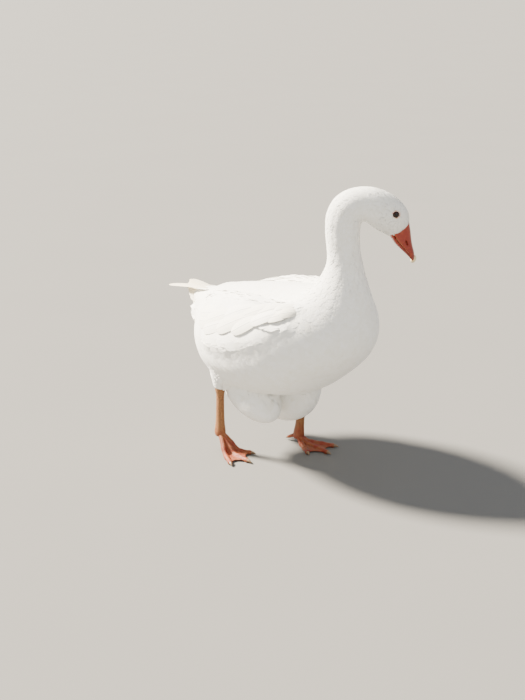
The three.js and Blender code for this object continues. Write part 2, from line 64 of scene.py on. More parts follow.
class Side(Enum):
    """The two sides of the goose, as the sign of Y."""

    RIGHT = -1
    LEFT = 1

    @property
    def tag(self) -> str:
        """Name of the side as the nodes spell it."""
        return self.name.lower()


class Zone(Enum):
    """The forms that the skin is blended from."""

    BODY = 0
    WING = 1
    LOBE = 2
    THIGH = 3
    COVERT = 4


# --- small geometry


def to_frame(points: Points) -> Points:
    """Own frame in millimetres to the solids' frame in metres.

    Args:
        points: array of (..., 3).

    Returns:
        The array in metres.
    """
    return (np.asarray(points, float) + (OWN_FRAME_X, 0.0, 0.0)) / METRE


def unit(vectors: Points) -> Points:
    """Vectors scaled to length one."""
    length = np.linalg.norm(vectors, axis=-1, keepdims=True)
    return vectors / np.maximum(length, 1e-9)


def flattened(vectors: Points, normals: Points) -> Points:
    """Unit vectors with the part along the normals taken out."""
    along = np.sum(vectors * normals, axis=-1, keepdims=True)
    return unit(vectors - normals * along)


def smoothstep(value: Points, low: float, high: float) -> Points:
    """Smooth rise from 0 at low to 1 at high."""
    share = np.clip((np.asarray(value, float) - low) / (high - low), 0.0, 1.0)
    return share * share * (3.0 - 2.0 * share)


def smooth_path(points: list | Points, count: int) -> Points:
    """Centripetal Catmull-Rom curve through points.

    Args:
        points: the points it passes through.
        count: samples along it.

    Returns:
        Array of (count, dimensions).
    """
    given = np.asarray(points, float)
    spans = len(given) - 1
    ends = np.vstack([2 * given[0] - given[1], given, 2 * given[-1] - given[-2]])
    rows = []
    for place in np.linspace(0.0, spans, count):
        k = min(int(place), spans - 1)
        w = place - k
        p0, p1, p2, p3 = ends[k:k + 4]
        d0, d1, d2 = (max(math.sqrt(np.linalg.norm(b - a)), 1e-4)
                      for a, b in ((p0, p1), (p1, p2), (p2, p3)))
        m1 = ((p1 - p0) / d0 - (p2 - p0) / (d0 + d1) + (p2 - p1) / d1) * d1
        m2 = ((p2 - p1) / d1 - (p3 - p1) / (d1 + d2) + (p3 - p2) / d2) * d1
        cubic = 2 * p1 - 2 * p2 + m1 + m2
        square = -3 * p1 + 3 * p2 - 2 * m1 - m2
        rows.append(p1 + m1 * w + square * w ** 2 + cubic * w ** 3)
    return np.array(rows)


def turned(points: Points, angle: Points | float) -> Points:
    """Points turned to the goose's left about the upright line of the neck."""
    x, y, z = np.moveaxis(np.asarray(points, float), -1, 0)
    dx = x - NECK_X
    c, s = np.cos(angle), np.sin(angle)
    return np.stack([NECK_X + dx * c - y * s, dx * s + y * c, z + 0.0 * c], axis=-1)


def head_point(x: float, side: float, z: float) -> Points:
    """A point drawn on the straight-ahead head, in its turned place."""
    return turned(np.array([x, side, z]), HEAD_TURN)


def head_way(x: float, side: float, z: float) -> Points:
    """A direction drawn on the straight-ahead head, in its turned place."""
    return head_point(x + NECK_X, side, z) - head_point(NECK_X, 0.0, 0.0)


def oval_rings(middle: Points, up: Points, side: Points, count: int,
               fullness: float = 1.0) -> Points:
    """Rings of points about middles.

    Args:
        middle: (n, 3) middles.
        up: (n, 3) half axes upward.
        side: (n, 3) half axes sideways.
        count: points round each ring.
        fullness: power on sine and cosine, below 1 for a squarer ring.

    Returns:
        Array of (n, count, 3).
    """
    angle = np.linspace(0.0, 2 * math.pi, count, endpoint=False)
    c = np.sign(np.cos(angle)) * np.abs(np.cos(angle)) ** fullness
    s = np.sign(np.sin(angle)) * np.abs(np.sin(angle)) ** fullness
    return (middle[:, None] + up[:, None] * c[None, :, None]
            + side[:, None] * s[None, :, None])


def side_drawn(table: Points, count: int,
               grow: Points | float = 0.0) -> tuple[Points, Points, Points]:
    """Middles, half axes upward and half widths of a form that is drawn from its side.

    Args:
        table: stations that start with (top x, top z, low x, low z, half width).
        count: rings along it.
        grow: how far it is pushed out.

    Returns:
        Arrays of (count, 3), (count, 3) and (count,).
    """
    top = smooth_path(table[:, 0:2], count)
    low = smooth_path(table[:, 2:4], count)
    half = smooth_path(np.column_stack([table[:, 4], range(len(table))]), count)[:, 0]
    zero = np.zeros(count)
    middle, up = (np.column_stack([flat[:, 0], zero, flat[:, 1]])
                  for flat in ((top + low) / 2, (top - low) / 2))
    tall = np.linalg.norm(up, axis=1)
    return middle, up * ((tall + grow) / tall)[:, None], half + grow


def tube_rings(path: Points, radii: Points, count: int, squash: float = 1.0) -> Points:
    """Rings square to a path.

    Args:
        path: (n, 3) middles.
        radii: (n,) half widths.
        count: points round each ring.
        squash: height over width of a ring.

    Returns:
        Array of (n, count, 3).
    """
    way = unit(np.gradient(path, axis=0))
    upward = np.array([0.0, 0.0, 1.0])
    if abs(way[:, 2]).mean() > 0.7:
        upward = np.array([1.0, 0.0, 0.0])
    side = unit(np.cross(way, upward))
    up = np.cross(side, way)
    size = np.asarray(radii, float)[:, None]
    return oval_rings(path, up * size * squash, side * size, count)


def loft_faces(rings: int, count: int, first: int = 0) -> list[tuple[int, ...]]:
    """Faces of a closed body through rings, with a flat face at each end.

    Args:
        rings: number of rings.
        count: points in each ring.
        first: number of the first point.

    Returns:
        Point numbers of each face.
    """
    faces = []
    for ring in range(rings - 1):
        for k in range(count):
            a = first + ring * count + k
            b = first + ring * count + (k + 1) % count
            faces.append((a, b, b + count, a + count))
    faces.append(tuple(first + k for k in reversed(range(count))))
    faces.append(tuple(first + (rings - 1) * count + k for k in range(count)))
    return faces


def add_mesh(name: str, points: Points, faces: list) -> Piece:
    """New mesh object with outward faces, from points in the own frame.

    Args:
        name: the piece's name.
        points: (n, 3) in millimetres.
        faces: lists of point numbers.

    Returns:
        The object, at the origin.
    """
    mesh = bpy.data.meshes.new(name)
    mesh.from_pydata(to_frame(points).tolist(), [], [tuple(f) for f in faces])
    mesh.update()
    piece = bpy.data.objects.new(name, mesh)
    bpy.context.scene.collection.objects.link(piece)
    face_out(piece)
    return piece


def add_rings(name: str, rings: Points) -> Piece:
    """Closed body through rings of points."""
    return add_mesh(name, rings.reshape(-1, 3), loft_faces(*rings.shape[:2]))


def add_loft(name: str, rings: Points) -> Piece:
    """Closed body through rings of points, smooth along its length."""
    piece = add_rings(name, rings)
    pick(piece)
    bpy.ops.object.shade_smooth_by_angle(angle=math.radians(50.0))
    return piece


def mesh_array(items: bpy.types.bpy_prop_collection, key: str, width: int,
               kind: type = float) -> Points:
    """One value of all items of a mesh, as an array of (n, width)."""
    values = np.empty(len(items) * width, kind)
    items.foreach_get(key, values)
    return values.reshape(-1, width)


def primitive(name: str, add: Callable, **shape: float) -> Piece:
    """A new primitive under a name, from one of Blender's own operators."""
    bpy.ops.object.select_all(action="DESELECT")
    add(**shape)
    piece = bpy.context.view_layer.objects.active
    piece.name = piece.data.name = name
    return piece


def put(piece: Piece, turn: tuple | Euler, spot: Points) -> None:
    """Turns a primitive, moves it to a place and applies both, with its scale."""
    piece.rotation_euler = turn
    piece.location = to_frame(spot)
    bpy.ops.object.transform_apply(location=True, rotation=True, scale=True)


def pick(*pieces: Piece) -> None:
    """Selects these pieces alone, the first one active."""
    bpy.ops.object.select_all(action="DESELECT")
    for piece in pieces:
        piece.select_set(True)
    bpy.context.view_layer.objects.active = pieces[0]


def face_out(piece: Piece) -> None:
    """Turns a piece's faces outward."""
    pick(piece)
    bpy.ops.object.mode_set(mode="EDIT")
    bpy.ops.mesh.select_all(action="SELECT")
    bpy.ops.mesh.normals_make_consistent(inside=False)
    bpy.ops.object.mode_set(mode="OBJECT")


def joined(name: str, *pieces: Piece) -> Piece:
    """One object from several, under a name.

    Args:
        name: the object's new name.
        pieces: what is joined, the one that stays first.

    Returns:
        The object.
    """
    pick(*pieces)
    if len(pieces) > 1:
        bpy.ops.object.join()
    piece = bpy.context.view_layer.objects.active
    piece.name = piece.data.name = name
    return piece


def modified(piece: Piece, kind: str, **settings: object) -> Piece:
    """Adds a modifier with its settings and applies it.

    Args:
        piece: what is modified.
        kind: the modifier's type.
        settings: the modifier's own settings.

    Returns:
        The piece.
    """
    pick(piece)
    modifier = piece.modifiers.new(kind.title(), kind)
    for key, value in settings.items():
        setattr(modifier, key, value)
    bpy.ops.object.modifier_apply(modifier=modifier.name)
    return piece


# --- finishes


def linear(hexcode: str) -> tuple[float, float, float, float]:
    """sRGB hex such as "fafaf4" as a linear colour with alpha 1."""
    channels = []
    for k in (0, 2, 4):
        value = int(hexcode[k:k + 2], 16) / 255
        channels.append(value / 12.92 if value <= 0.04045 else ((value + 0.055) / 1.055) ** 2.4)
    return (*channels, 1.0)


@dataclass
class Surface:
    """A material being built: its node tree and its shader.

    Attributes:
        name: the material's name.
    """

    name: str

    def __post_init__(self) -> None:
        """Makes the empty material with its shader."""
        self.material = bpy.data.materials.new(self.name)
        self.material.use_nodes = True
        self.tree = self.material.node_tree
        self.shader = self.tree.nodes["Principled BSDF"]

    def node(self, kind: str, links: dict | None = None, values: dict | None = None,
             **settings: object) -> bpy.types.Node:
        """Adds a node.

        Args:
            kind: the node's type.
            links: input name or number to the socket that feeds it.
            values: input name or number to a constant.
            settings: the node's own settings.

        Returns:
            The node.
        """
        made = self.tree.nodes.new(kind)
        for key, value in settings.items():
            setattr(made, key, value)
        for key, value in (values or {}).items():
            made.inputs[key].default_value = value
        for key, socket in (links or {}).items():
            self.tree.links.new(socket, made.inputs[key])
        return made

    def calc(self, operation: str, *inputs: object, kind: str = "ShaderNodeMath",
             out: int | str = 0) -> Socket:
        """Result of a maths node.

        Args:
            operation: what it works out.
            inputs: sockets and constants, in its order.
            kind: the node's type.
            out: which output is read.

        Returns:
            The output.
        """
        made = self.node(kind, operation=operation)
        for k, value in enumerate(inputs):
            if isinstance(value, Socket):
                self.tree.links.new(value, made.inputs[k])
            else:
                made.inputs[k].default_value = value
        return made.outputs[out]

    def blend(self, share: Socket, low: str, high: str) -> Socket:
        """Colour that runs from low to high with a share."""
        mix = self.node("ShaderNodeMix", data_type="RGBA")
        mix.inputs["A"].default_value = linear(low)
        mix.inputs["B"].default_value = linear(high)
        self.tree.links.new(share, mix.inputs["Factor"])
        return mix.outputs["Result"]

    def over(self, share: Socket, base: Socket, high: str) -> Socket:
        """A colour laid over another.

        Args:
            share: how much of it shows, 0 to 1.
            base: the colour under it.
            high: the colour laid over, as hex.

        Returns:
            The mixed colour.
        """
        mix = self.node("ShaderNodeMix", data_type="RGBA")
        mix.inputs["B"].default_value = linear(high)
        self.tree.links.new(share, mix.inputs["Factor"])
        self.tree.links.new(base, mix.inputs["A"])
        return mix.outputs["Result"]

    def ramp(self, value: Socket, low: float, high: float) -> Socket:
        """Smooth share of a value between two limits."""
        spread = self.node("ShaderNodeMapRange", {"Value": value},
                           {"From Min": low, "From Max": high}, interpolation_type="SMOOTHSTEP")
        return spread.outputs["Result"]

    def where(self) -> Socket:
        """Object coordinates, in metres of the solids' frame."""
        return self.node("ShaderNodeTexCoord").outputs["Object"]

    def noise(self, size_mm: float, detail: float = 2.0) -> Socket:
        """Noise whose blotches are about size_mm across."""
        made = self.node("ShaderNodeTexNoise", {"Vector": self.where()},
                         {"Scale": METRE / size_mm, "Detail": detail})
        return made.outputs["Fac"]

    def bump(self, height: Socket, depth_mm: float, strength: float = 1.0) -> None:
        """Raises the surface by a height pattern, on top of any bump before it.

        Args:
            height: the pattern, 0 to 1.
            depth_mm: height of the bump.
            strength: share of it that the shader applies.
        """
        made = self.node("ShaderNodeBump", {"Height": height},
                         {"Strength": strength, "Distance": depth_mm / METRE})
        before = self.shader.inputs["Normal"].links
        if before:
            self.tree.links.new(before[0].from_socket, made.inputs["Normal"])
        self.tree.links.new(made.outputs["Normal"], self.shader.inputs["Normal"])

    def colour(self, socket: Socket) -> None:
        """Feeds the shader's base colour."""
        self.tree.links.new(socket, self.shader.inputs["Base Color"])

    def set(self, **sockets: float) -> None:
        """Sets constants on the shader's own sockets, with _ for a space."""
        for key, value in sockets.items():
            self.shader.inputs[key.replace("_", " ")].default_value = value


@dataclass(frozen=True)
class PlumageFinish:
    """Feather keratin: barbs that lie side by side scatter light, so it looks matt and soft.

    Attributes:
        name: the material's name.
        pale: colour of the palest feathers.
        deep: colour of the deepest ones and of the stain.
        barb_mm: distance between barbs on a feather 30 mm wide.
        shaft: whether the shaft shows as a ridge.
    """

    name: str
    pale: str
    deep: str
    barb_mm: float = 1.1
    shaft: bool = False

    def make(self) -> bpy.types.Material:
        """Builds the material: tone by feather, faint stain, slanting barbs and the shaft."""
        surface = Surface(self.name)
        tone = surface.node("ShaderNodeAttribute", attribute_name="tone").outputs["Fac"]
        tint = surface.blend(tone, self.deep, self.pale)
        stain = surface.ramp(surface.noise(60.0, 3.0), 0.55, 0.8)
        tint = surface.over(surface.calc("MULTIPLY", stain, 0.25), tint, self.deep)
        vane = surface.node("ShaderNodeUVMap", uv_map=VANE_MAP).outputs["UV"]
        across = surface.node("ShaderNodeSeparateXYZ", {0: vane}).outputs
        # Barbs slant forward from the shaft, so their phase falls with the distance from it.
        away = surface.calc("ABSOLUTE", surface.calc("SUBTRACT", across["X"], 0.5))
        slant = surface.calc("MULTIPLY_ADD", away, -0.55, across["Y"])
        barbs = surface.calc("MULTIPLY", slant, 2 * math.pi * 30.0 / self.barb_mm)
        surface.bump(surface.calc("SINE", barbs), 0.05, 0.6)
        surface.bump(surface.noise(2.5, 3.0), 0.25, 0.4)
        if self.shaft:
            ridge = surface.ramp(away, 0.045, 0.012)
            tint = surface.over(ridge, tint, self.pale)
            surface.bump(ridge, 0.5)
        surface.colour(tint)
        surface.set(Roughness=0.8, Sheen_Weight=0.25, Sheen_Roughness=0.6,
                    Specular_IOR_Level=0.3)
        return surface.material


@dataclass(frozen=True)
class SkinFinish:
    """Skin under the down: living tissue with fine pimples, white like the coat over it."""

    name: str = "goose_skin_down"
    pale: str = "f6f5ef"
    deep: str = "e9e4d6"

    def make(self) -> bpy.types.Material:
        """Builds the material: down-white with faint warmth and pimples 2 mm apart."""
        surface = Surface(self.name)
        surface.colour(surface.blend(surface.ramp(surface.noise(40.0), 0.4, 0.7),
                                     self.pale, self.deep))
        surface.bump(surface.noise(2.0, 3.0), 0.4, 0.5)
        surface.set(Roughness=0.85, Sheen_Weight=0.2)
        return surface.material


@dataclass(frozen=True)
class LidFinish:
    """Bare eyelid: soft pale skin, finely wrinkled along its edge."""

    name: str = "eyelid_skin"
    pale: str = "efd9cb"
    deep: str = "dfae94"

    def make(self) -> bpy.types.Material:
        """Builds the material: pink-cream with fine wrinkles."""
        surface = Surface(self.name)
        surface.colour(surface.blend(surface.ramp(surface.noise(1.6), 0.35, 0.7),
                                     self.pale, self.deep))
        surface.bump(surface.noise(0.7, 3.0), 0.15, 0.7)
        surface.set(Roughness=0.5, Subsurface_Weight=0.2, Subsurface_Scale=0.001)
        return surface.material


@dataclass(frozen=True)
class EyeFinish:
    """Wet cornea over a dark brown iris: a glossy coat over a nearly black ball.

    Attributes:
        centre: middle of the eyeball, in metres of the solids' frame.
        axis: the way the eye looks.
        name: the material's name.
    """

    centre: tuple[float, float, float]
    axis: tuple[float, float, float]
    name: str = "wet_eye"

    def make(self) -> bpy.types.Material:
        """Builds the material: black pupil, brown iris and dark rim, by distance from the axis."""
        surface = Surface(self.name)
        offset = surface.calc("SUBTRACT", surface.where(), self.centre, kind=VECTOR_MATHS)
        cross = surface.calc("CROSS_PRODUCT", offset, self.axis, kind=VECTOR_MATHS)
        radius = surface.calc("LENGTH", cross, kind=VECTOR_MATHS, out="Value")
        iris = surface.blend(surface.noise(0.5), "200d06", "331607")
        inner = surface.over(surface.ramp(radius, 0.0030, 0.0024), iris, "050302")
        surface.colour(surface.over(surface.ramp(radius, 0.0048, 0.0058), inner, "120806"))
        surface.set(Roughness=0.12, Specular_IOR_Level=0.25, Coat_Weight=0.25,
                    Coat_Roughness=0.03, Coat_IOR=1.36)
        return surface.material


@dataclass(frozen=True)
class HornFinish:
    """Horn sheath, as on a bill or claw: satin, with fine growth lines and worn paler edges.

    Attributes:
        name: the material's name.
        base: colour at the start.
        tip: colour at the end.
        edge: colour of the mottling and of worn edges.
        start: where the colour starts, in metres of the solids' frame.
        way: the way it runs.
        length_mm: distance from base to tip.
        line_mm: distance between growth lines.
        roughness: of the shader.
    """

    name: str
    base: str
    tip: str
    edge: str
    start: tuple[float, float, float]
    way: tuple[float, float, float]
    length_mm: float
    line_mm: float = 1.5
    roughness: float = 0.42

    def make(self) -> bpy.types.Material:
        """Builds the material: base to tip colour, mottling, growth lines and edges."""
        surface = Surface(self.name)
        offset = surface.calc("SUBTRACT", surface.where(), self.start, kind=VECTOR_MATHS)
        along = surface.calc("DOT_PRODUCT", offset, self.way, kind=VECTOR_MATHS, out="Value")
        share = surface.ramp(along, 0.0, self.length_mm / METRE)
        tint = surface.blend(share, self.base, self.tip)
        mottle = surface.ramp(surface.noise(5.0, 4.0), 0.5, 0.72)
        tint = surface.over(surface.calc("MULTIPLY", mottle, 0.35), tint, self.edge)
        point = surface.node("ShaderNodeNewGeometry").outputs["Pointiness"]
        worn = surface.calc("MULTIPLY", surface.ramp(point, 0.52, 0.6), 0.5)
        surface.colour(surface.over(worn, tint, self.edge))
        surface.bump(surface.noise(self.line_mm, 4.0), 0.12, 0.7)
        surface.set(Roughness=self.roughness, Coat_Weight=0.15, Coat_Roughness=0.3)
        return surface.material


@dataclass(frozen=True)
class ScaleFinish:
    """Scaly leg skin: small horny plates with soft furrows, and painted shade in the furrows.

    Attributes:
        name: the material's name.
        base: colour of the plates.
        deep: colour of the furrows, a painted shade.
        web: colour that foot and webs run to, a redder orange that paints the glow of light through
            the thin webs in shade.
        plate_mm: size of a plate.
        web_top: height in metres where the foot's colour starts.
        web_full: height in metres where it is full.
    """

    name: str
    base: str
    deep: str
    web: str
    plate_mm: float = 3.2
    web_top: float = 0.062
    web_full: float = 0.018

    def make(self) -> bpy.types.Material:
        """Builds the material: rounded plates with painted shade between them, and the foot's painted
        glow.
        """
        surface = Surface(self.name)
        cells = surface.node("ShaderNodeTexVoronoi", {"Vector": surface.where()},
                             {"Scale": METRE / self.plate_mm}, feature="DISTANCE_TO_EDGE")
        plate = surface.ramp(cells.outputs["Distance"], 0.0, 0.16)
        # Painted shade: the furrows between the plates run to the deep colour.
        tint = surface.blend(plate, self.deep, self.base)
        height = surface.node("ShaderNodeSeparateXYZ", {0: surface.where()}).outputs["Z"]
        # Painted light: low down, in blotches, the colour runs to the web colour, the red glow of
        # light through the thin webs in shade.
        low = surface.ramp(height, self.web_top, self.web_full)
        blotch = surface.ramp(surface.noise(12.0, 3.0), 0.35, 0.75)
        both = surface.calc("ADD", low, surface.calc("MULTIPLY", blotch, low))
        surface.colour(surface.over(surface.calc("MULTIPLY", both, 0.5), tint, self.web))
        surface.bump(plate, 0.35, 0.8)
        surface.bump(surface.noise(0.9, 3.0), 0.1, 0.5)
        surface.set(Roughness=0.55, Specular_IOR_Level=0.45)
        return surface.material


@dataclass(frozen=True)
class FloorFinish:
    """Studio floor: matt painted board, with very faint mottling."""

    name: str = "studio_floor_paint"

    def make(self) -> bpy.types.Material:
        """Builds the material: two nearly equal greys in large blotches."""
        surface = Surface(self.name)
        surface.colour(surface.blend(surface.noise(400.0), "6a6966", "6d6c69"))
        surface.set(Roughness=0.9)
        return surface.material


# --- forms


@dataclass
class Form:
    """One closed form of flesh, as rings from its start to its end.

    Attributes:
        zone: which form it is.
        inner: (n, m, 3) points on the skin, under the coat.
        flow: (n, m, 3) the way the coat lies.
        coat: (n,) length of the feathers.
        depth: (n,) depth of the coat.
    """

    zone: Zone
    inner: Points
    flow: Points
    coat: Points
    depth: Points


@dataclass
class BodyForm:
    """Trunk, neck and head as one loft.

    A station is (top x, top z, low x, low z, half width, feather length, coat depth).

    Attributes:
        trunk, neck, head: its stations, from the rear end to the forehead.
        rings_each: rings from one station to the next.
        points: points in each ring.
        furrows: furrows round the neck.
        furrow_depth: their depth.
        furrow_from, furrow_to: stations between which they run.
    """

    trunk: tuple = (
        (-207, 294, -209, 264, 14, 22, 3), (-198, 308, -206, 218, 56, 26, 4.5),
        (-168, 320, -183, 162, 92, 30, 5.5), (-120, 331, -134, 134, 122, 33, 6),
        (-60, 343, -66, 128, 140, 34, 6), (5, 353, 5, 134, 146, 33, 6),
        (55, 361, 72, 153, 140, 31, 6), (84, 369, 130, 193, 122, 28, 5.5),
        (98, 380, 176, 233, 98, 25, 5), (105, 394, 203, 276, 73, 22, 4.5),
        (111, 409, 203, 327, 52, 19, 4),
    )
    neck: tuple = (
        (116, 425, 187, 398, 36, 17, 3.6), (115, 452, 178, 440, 31, 15, 3.2),
        (112, 482, 175, 478, 30, 14, 3), (113, 510, 178, 497, 30, 13, 2.8),
        (126, 539, 181, 501, 30, 12, 2.6), (148, 555, 184, 500, 30, 11, 2.4),
    )
    head: tuple = (
        (170, 561, 188, 497, 30, 9.5, 2.2), (192, 561, 195, 491, 31, 8.5, 2),
        (213, 556, 205, 484, 32, 7.5, 1.8), (233, 546, 214, 479, 31, 6.5, 1.6),
        (250, 531, 222, 475, 27, 6, 1.4), (260, 514, 228, 472, 22, 5.2, 1.2),
        (262, 497, 230, 471, 18, 4.6, 1.0),
    )
    rings_each: int = 9
    points: int = 120
    furrows: int = 17
    furrow_depth: float = 1.0
    furrow_from: float = 8.6
    furrow_to: float = 18.0

    def build(self) -> Form:
        """The form with its coat."""
        table = np.array(self.trunk + self.neck + self.head, float)
        count = (len(table) - 1) * self.rings_each + 1
        place = np.linspace(0, len(table) - 1, count)
        coat = np.interp(place, range(len(table)), table[:, 5])
        depth = np.interp(place, range(len(table)), table[:, 6])
        rings = self.loft(table, place, np.zeros(count), 0.0)
        inner = self.loft(table, place, -depth, self.furrow_depth)
        flow = unit(-np.gradient(rings, axis=0))
        return Form(Zone.BODY, inner, flow, coat, depth)

    def loft(self, table: Points, place: Points, grow: Points, furrow: float) -> Points:
        """Rings of the body, furrowed along the neck.

        Args:
            table: the stations.
            place: (n,) station number of each ring.
            grow: (n,) how far each ring is pushed out.
            furrow: depth of the furrows.

        Returns:
            Array of (n, points, 3).
        """
        middle, up, half = side_drawn(table, len(place), grow)
        zero = np.zeros(len(place))
        rings = oval_rings(middle, up, np.column_stack([zero, -half, zero]), self.points)
        angle = np.linspace(0, 2 * math.pi, self.points, endpoint=False)[None, :]
        twist = 0.45 * np.sin(place * 0.9)[:, None]
        wave = np.cos(self.furrows * (angle + twist * 0.25) + np.sin(2 * angle + place[:, None]))
        share = smoothstep(place, self.furrow_from, self.furrow_from + 2.5)
        share = share * (1 - smoothstep(place, self.furrow_to - 4.0, self.furrow_to))
        centre = rings.mean(axis=1, keepdims=True)
        out = unit(rings - centre)
        rings = rings + out * (furrow * share[:, None] * (wave - 0.4))[..., None]
        turn = HEAD_TURN * smoothstep(middle[:, 2], TURN_FROM, TURN_TO)
        return turned(rings, turn[:, None])


@dataclass
class WingForm:
    """A folded wing.

    A station is (x, y, z, half height, thickness, lean, feather length, coat depth).

    Attributes:
        side: which wing it is.
        stations: from the shoulder to the tip, for the left side.
        rings_each: rings from one station to the next.
        points: points in each ring.
        fullness: below 1 for squarer rings.
    """

    side: Side
    stations: tuple = (
        (134, 76, 328, 14, 7, 0.5, 24, 4), (112, 92, 322, 36, 16, 0.54, 26, 5),
        (60, 108, 306, 56, 24, 0.54, 30, 6), (-10, 114, 293, 65, 26, 0.52, 34, 7),
        (-75, 106, 283, 65, 25, 0.49, 36, 7), (-135, 84, 273, 58, 21, 0.44, 38, 7),
        (-183, 58, 265, 42, 15, 0.38, 40, 6), (-218, 46, 260, 24, 9, 0.33, 40, 4),
        (-242, 43, 256, 8, 4, 0.3, 40, 2),
    )
    rings_each: int = 8
    points: int = 72
    fullness: float = 0.95

    def loft(self, grow: float, deep: float = 0.0) -> Points:
        """Rings of the wing, from the shoulder to the tip.

        Args:
            grow: how far they are pushed out all round.
            deep: share of the coat's depth that is taken off.

        Returns:
            Array of (n, points, 3).
        """
        table = np.array(self.stations, float)
        sign = self.side.value
        count = (len(table) - 1) * self.rings_each + 1
        middle = smooth_path(table[:, 0:3] * (1, sign, 1), count)
        place = np.linspace(0, len(table) - 1, count)
        height, thick, lean, depth = (
            np.interp(place, range(len(table)), table[:, k]) for k in (3, 4, 5, 7))
        zero = np.zeros(count)
        up = np.column_stack([zero, -sign * np.sin(lean), np.cos(lean)])
        out = np.column_stack([zero, np.cos(lean) * sign, np.sin(lean)])
        tall = np.maximum(height + grow - deep * depth, 1.0)
        wide = np.maximum(thick + grow - deep * depth, 1.0)
        return oval_rings(middle, up * tall[:, None], out * wide[:, None],
                          self.points, self.fullness)

    def build(self) -> Form:
        """The form with its coat."""
        table = np.array(self.stations, float)
        rings = self.loft(0.0)
        place = np.linspace(0, len(table) - 1, len(rings))
        coat, depth = (np.interp(place, range(len(table)), table[:, k]) for k in (6, 7))
        return Form(Zone.WING, self.loft(0.0, 1.0), unit(np.gradient(rings, axis=0)),
                    coat, depth)


@dataclass
class LobeForm:
    """One lobe of the paunch that hangs between the legs: an egg, tipped about its middle.

    The two shapes are (x, y, z of the middle, half length, half width, half depth, tilt).

    Attributes:
        side: which lobe it is.
        right, left: the shape on each side.
        coat: length of its feathers.
        depth: depth of its coat.
        count: rings along it.
        points: points in each ring.
    """

    side: Side
    right: tuple = (-60.0, 42.0, 125.5, 80.0, 44.0, 46.0, math.radians(26.0))
    left: tuple = (-52.0, 38.0, 127.0, 100.0, 42.0, 79.0, math.radians(-17.0))
    coat: float = 26.0
    depth: float = 5.0
    count: int = 48
    points: int = 48

    def build(self) -> Form:
        """The form with its coat, lying from front to rear."""
        x, y, z, length, width, deep, tilt = self.left if self.side is Side.LEFT else self.right
        angle = np.linspace(0.04, math.pi - 0.04, self.count)
        ahead = np.array([math.cos(tilt), 0.0, -math.sin(tilt)])
        up = np.array([math.sin(tilt), 0.0, math.cos(tilt)])
        sine = np.sin(angle)[:, None]

        def loft(grow: float) -> Points:
            """Rings of the egg, pushed out by grow."""
            middle = (np.array([x, self.side.value * y, z])
                      + (length + grow) * np.cos(angle)[:, None] * ahead)
            return oval_rings(middle, sine * (deep + grow) * up,
                              sine * (0, width + grow, 0), self.points)

        rings = loft(0.0)
        ones = np.ones(self.count)
        flow = np.broadcast_to([-0.6, 0.0, -0.8], rings.shape)
        return Form(Zone.LOBE, loft(-self.depth), flow,
                    self.coat * ones, self.depth * ones)


@dataclass
class CovertForm:
    """The base of the tail, above and below.

    A station is (top x, top z, low x, low z, half width).

    Attributes:
        stations: from the body to the tail.
        count: rings along it.
        points: points in each ring.
        depth: depth of its coat.
        coat: length of its feathers.
    """

    stations: tuple = ((-180, 318, -190, 215, 66), (-215, 303, -224, 240, 50),
                       (-246, 297, -252, 262, 34), (-268, 295, -271, 280, 16))
    count: int = 30
    points: int = 48
    depth: float = 4.5
    coat: float = 36.0

    def build(self) -> Form:
        """The form with its coat, lying to the rear."""
        table = np.array(self.stations, float)

        def loft(grow: float) -> Points:
            """Rings of the form, pushed out by grow."""
            middle, up, half = side_drawn(table, self.count, grow)
            zero = np.zeros(self.count)
            return oval_rings(middle, up, np.column_stack([zero, half, zero]), self.points)

        rings = loft(0.0)
        ones = np.ones(self.count)
        return Form(Zone.COVERT, loft(-self.depth), unit(np.gradient(rings, axis=0)),
                    self.coat * ones, self.depth * ones)


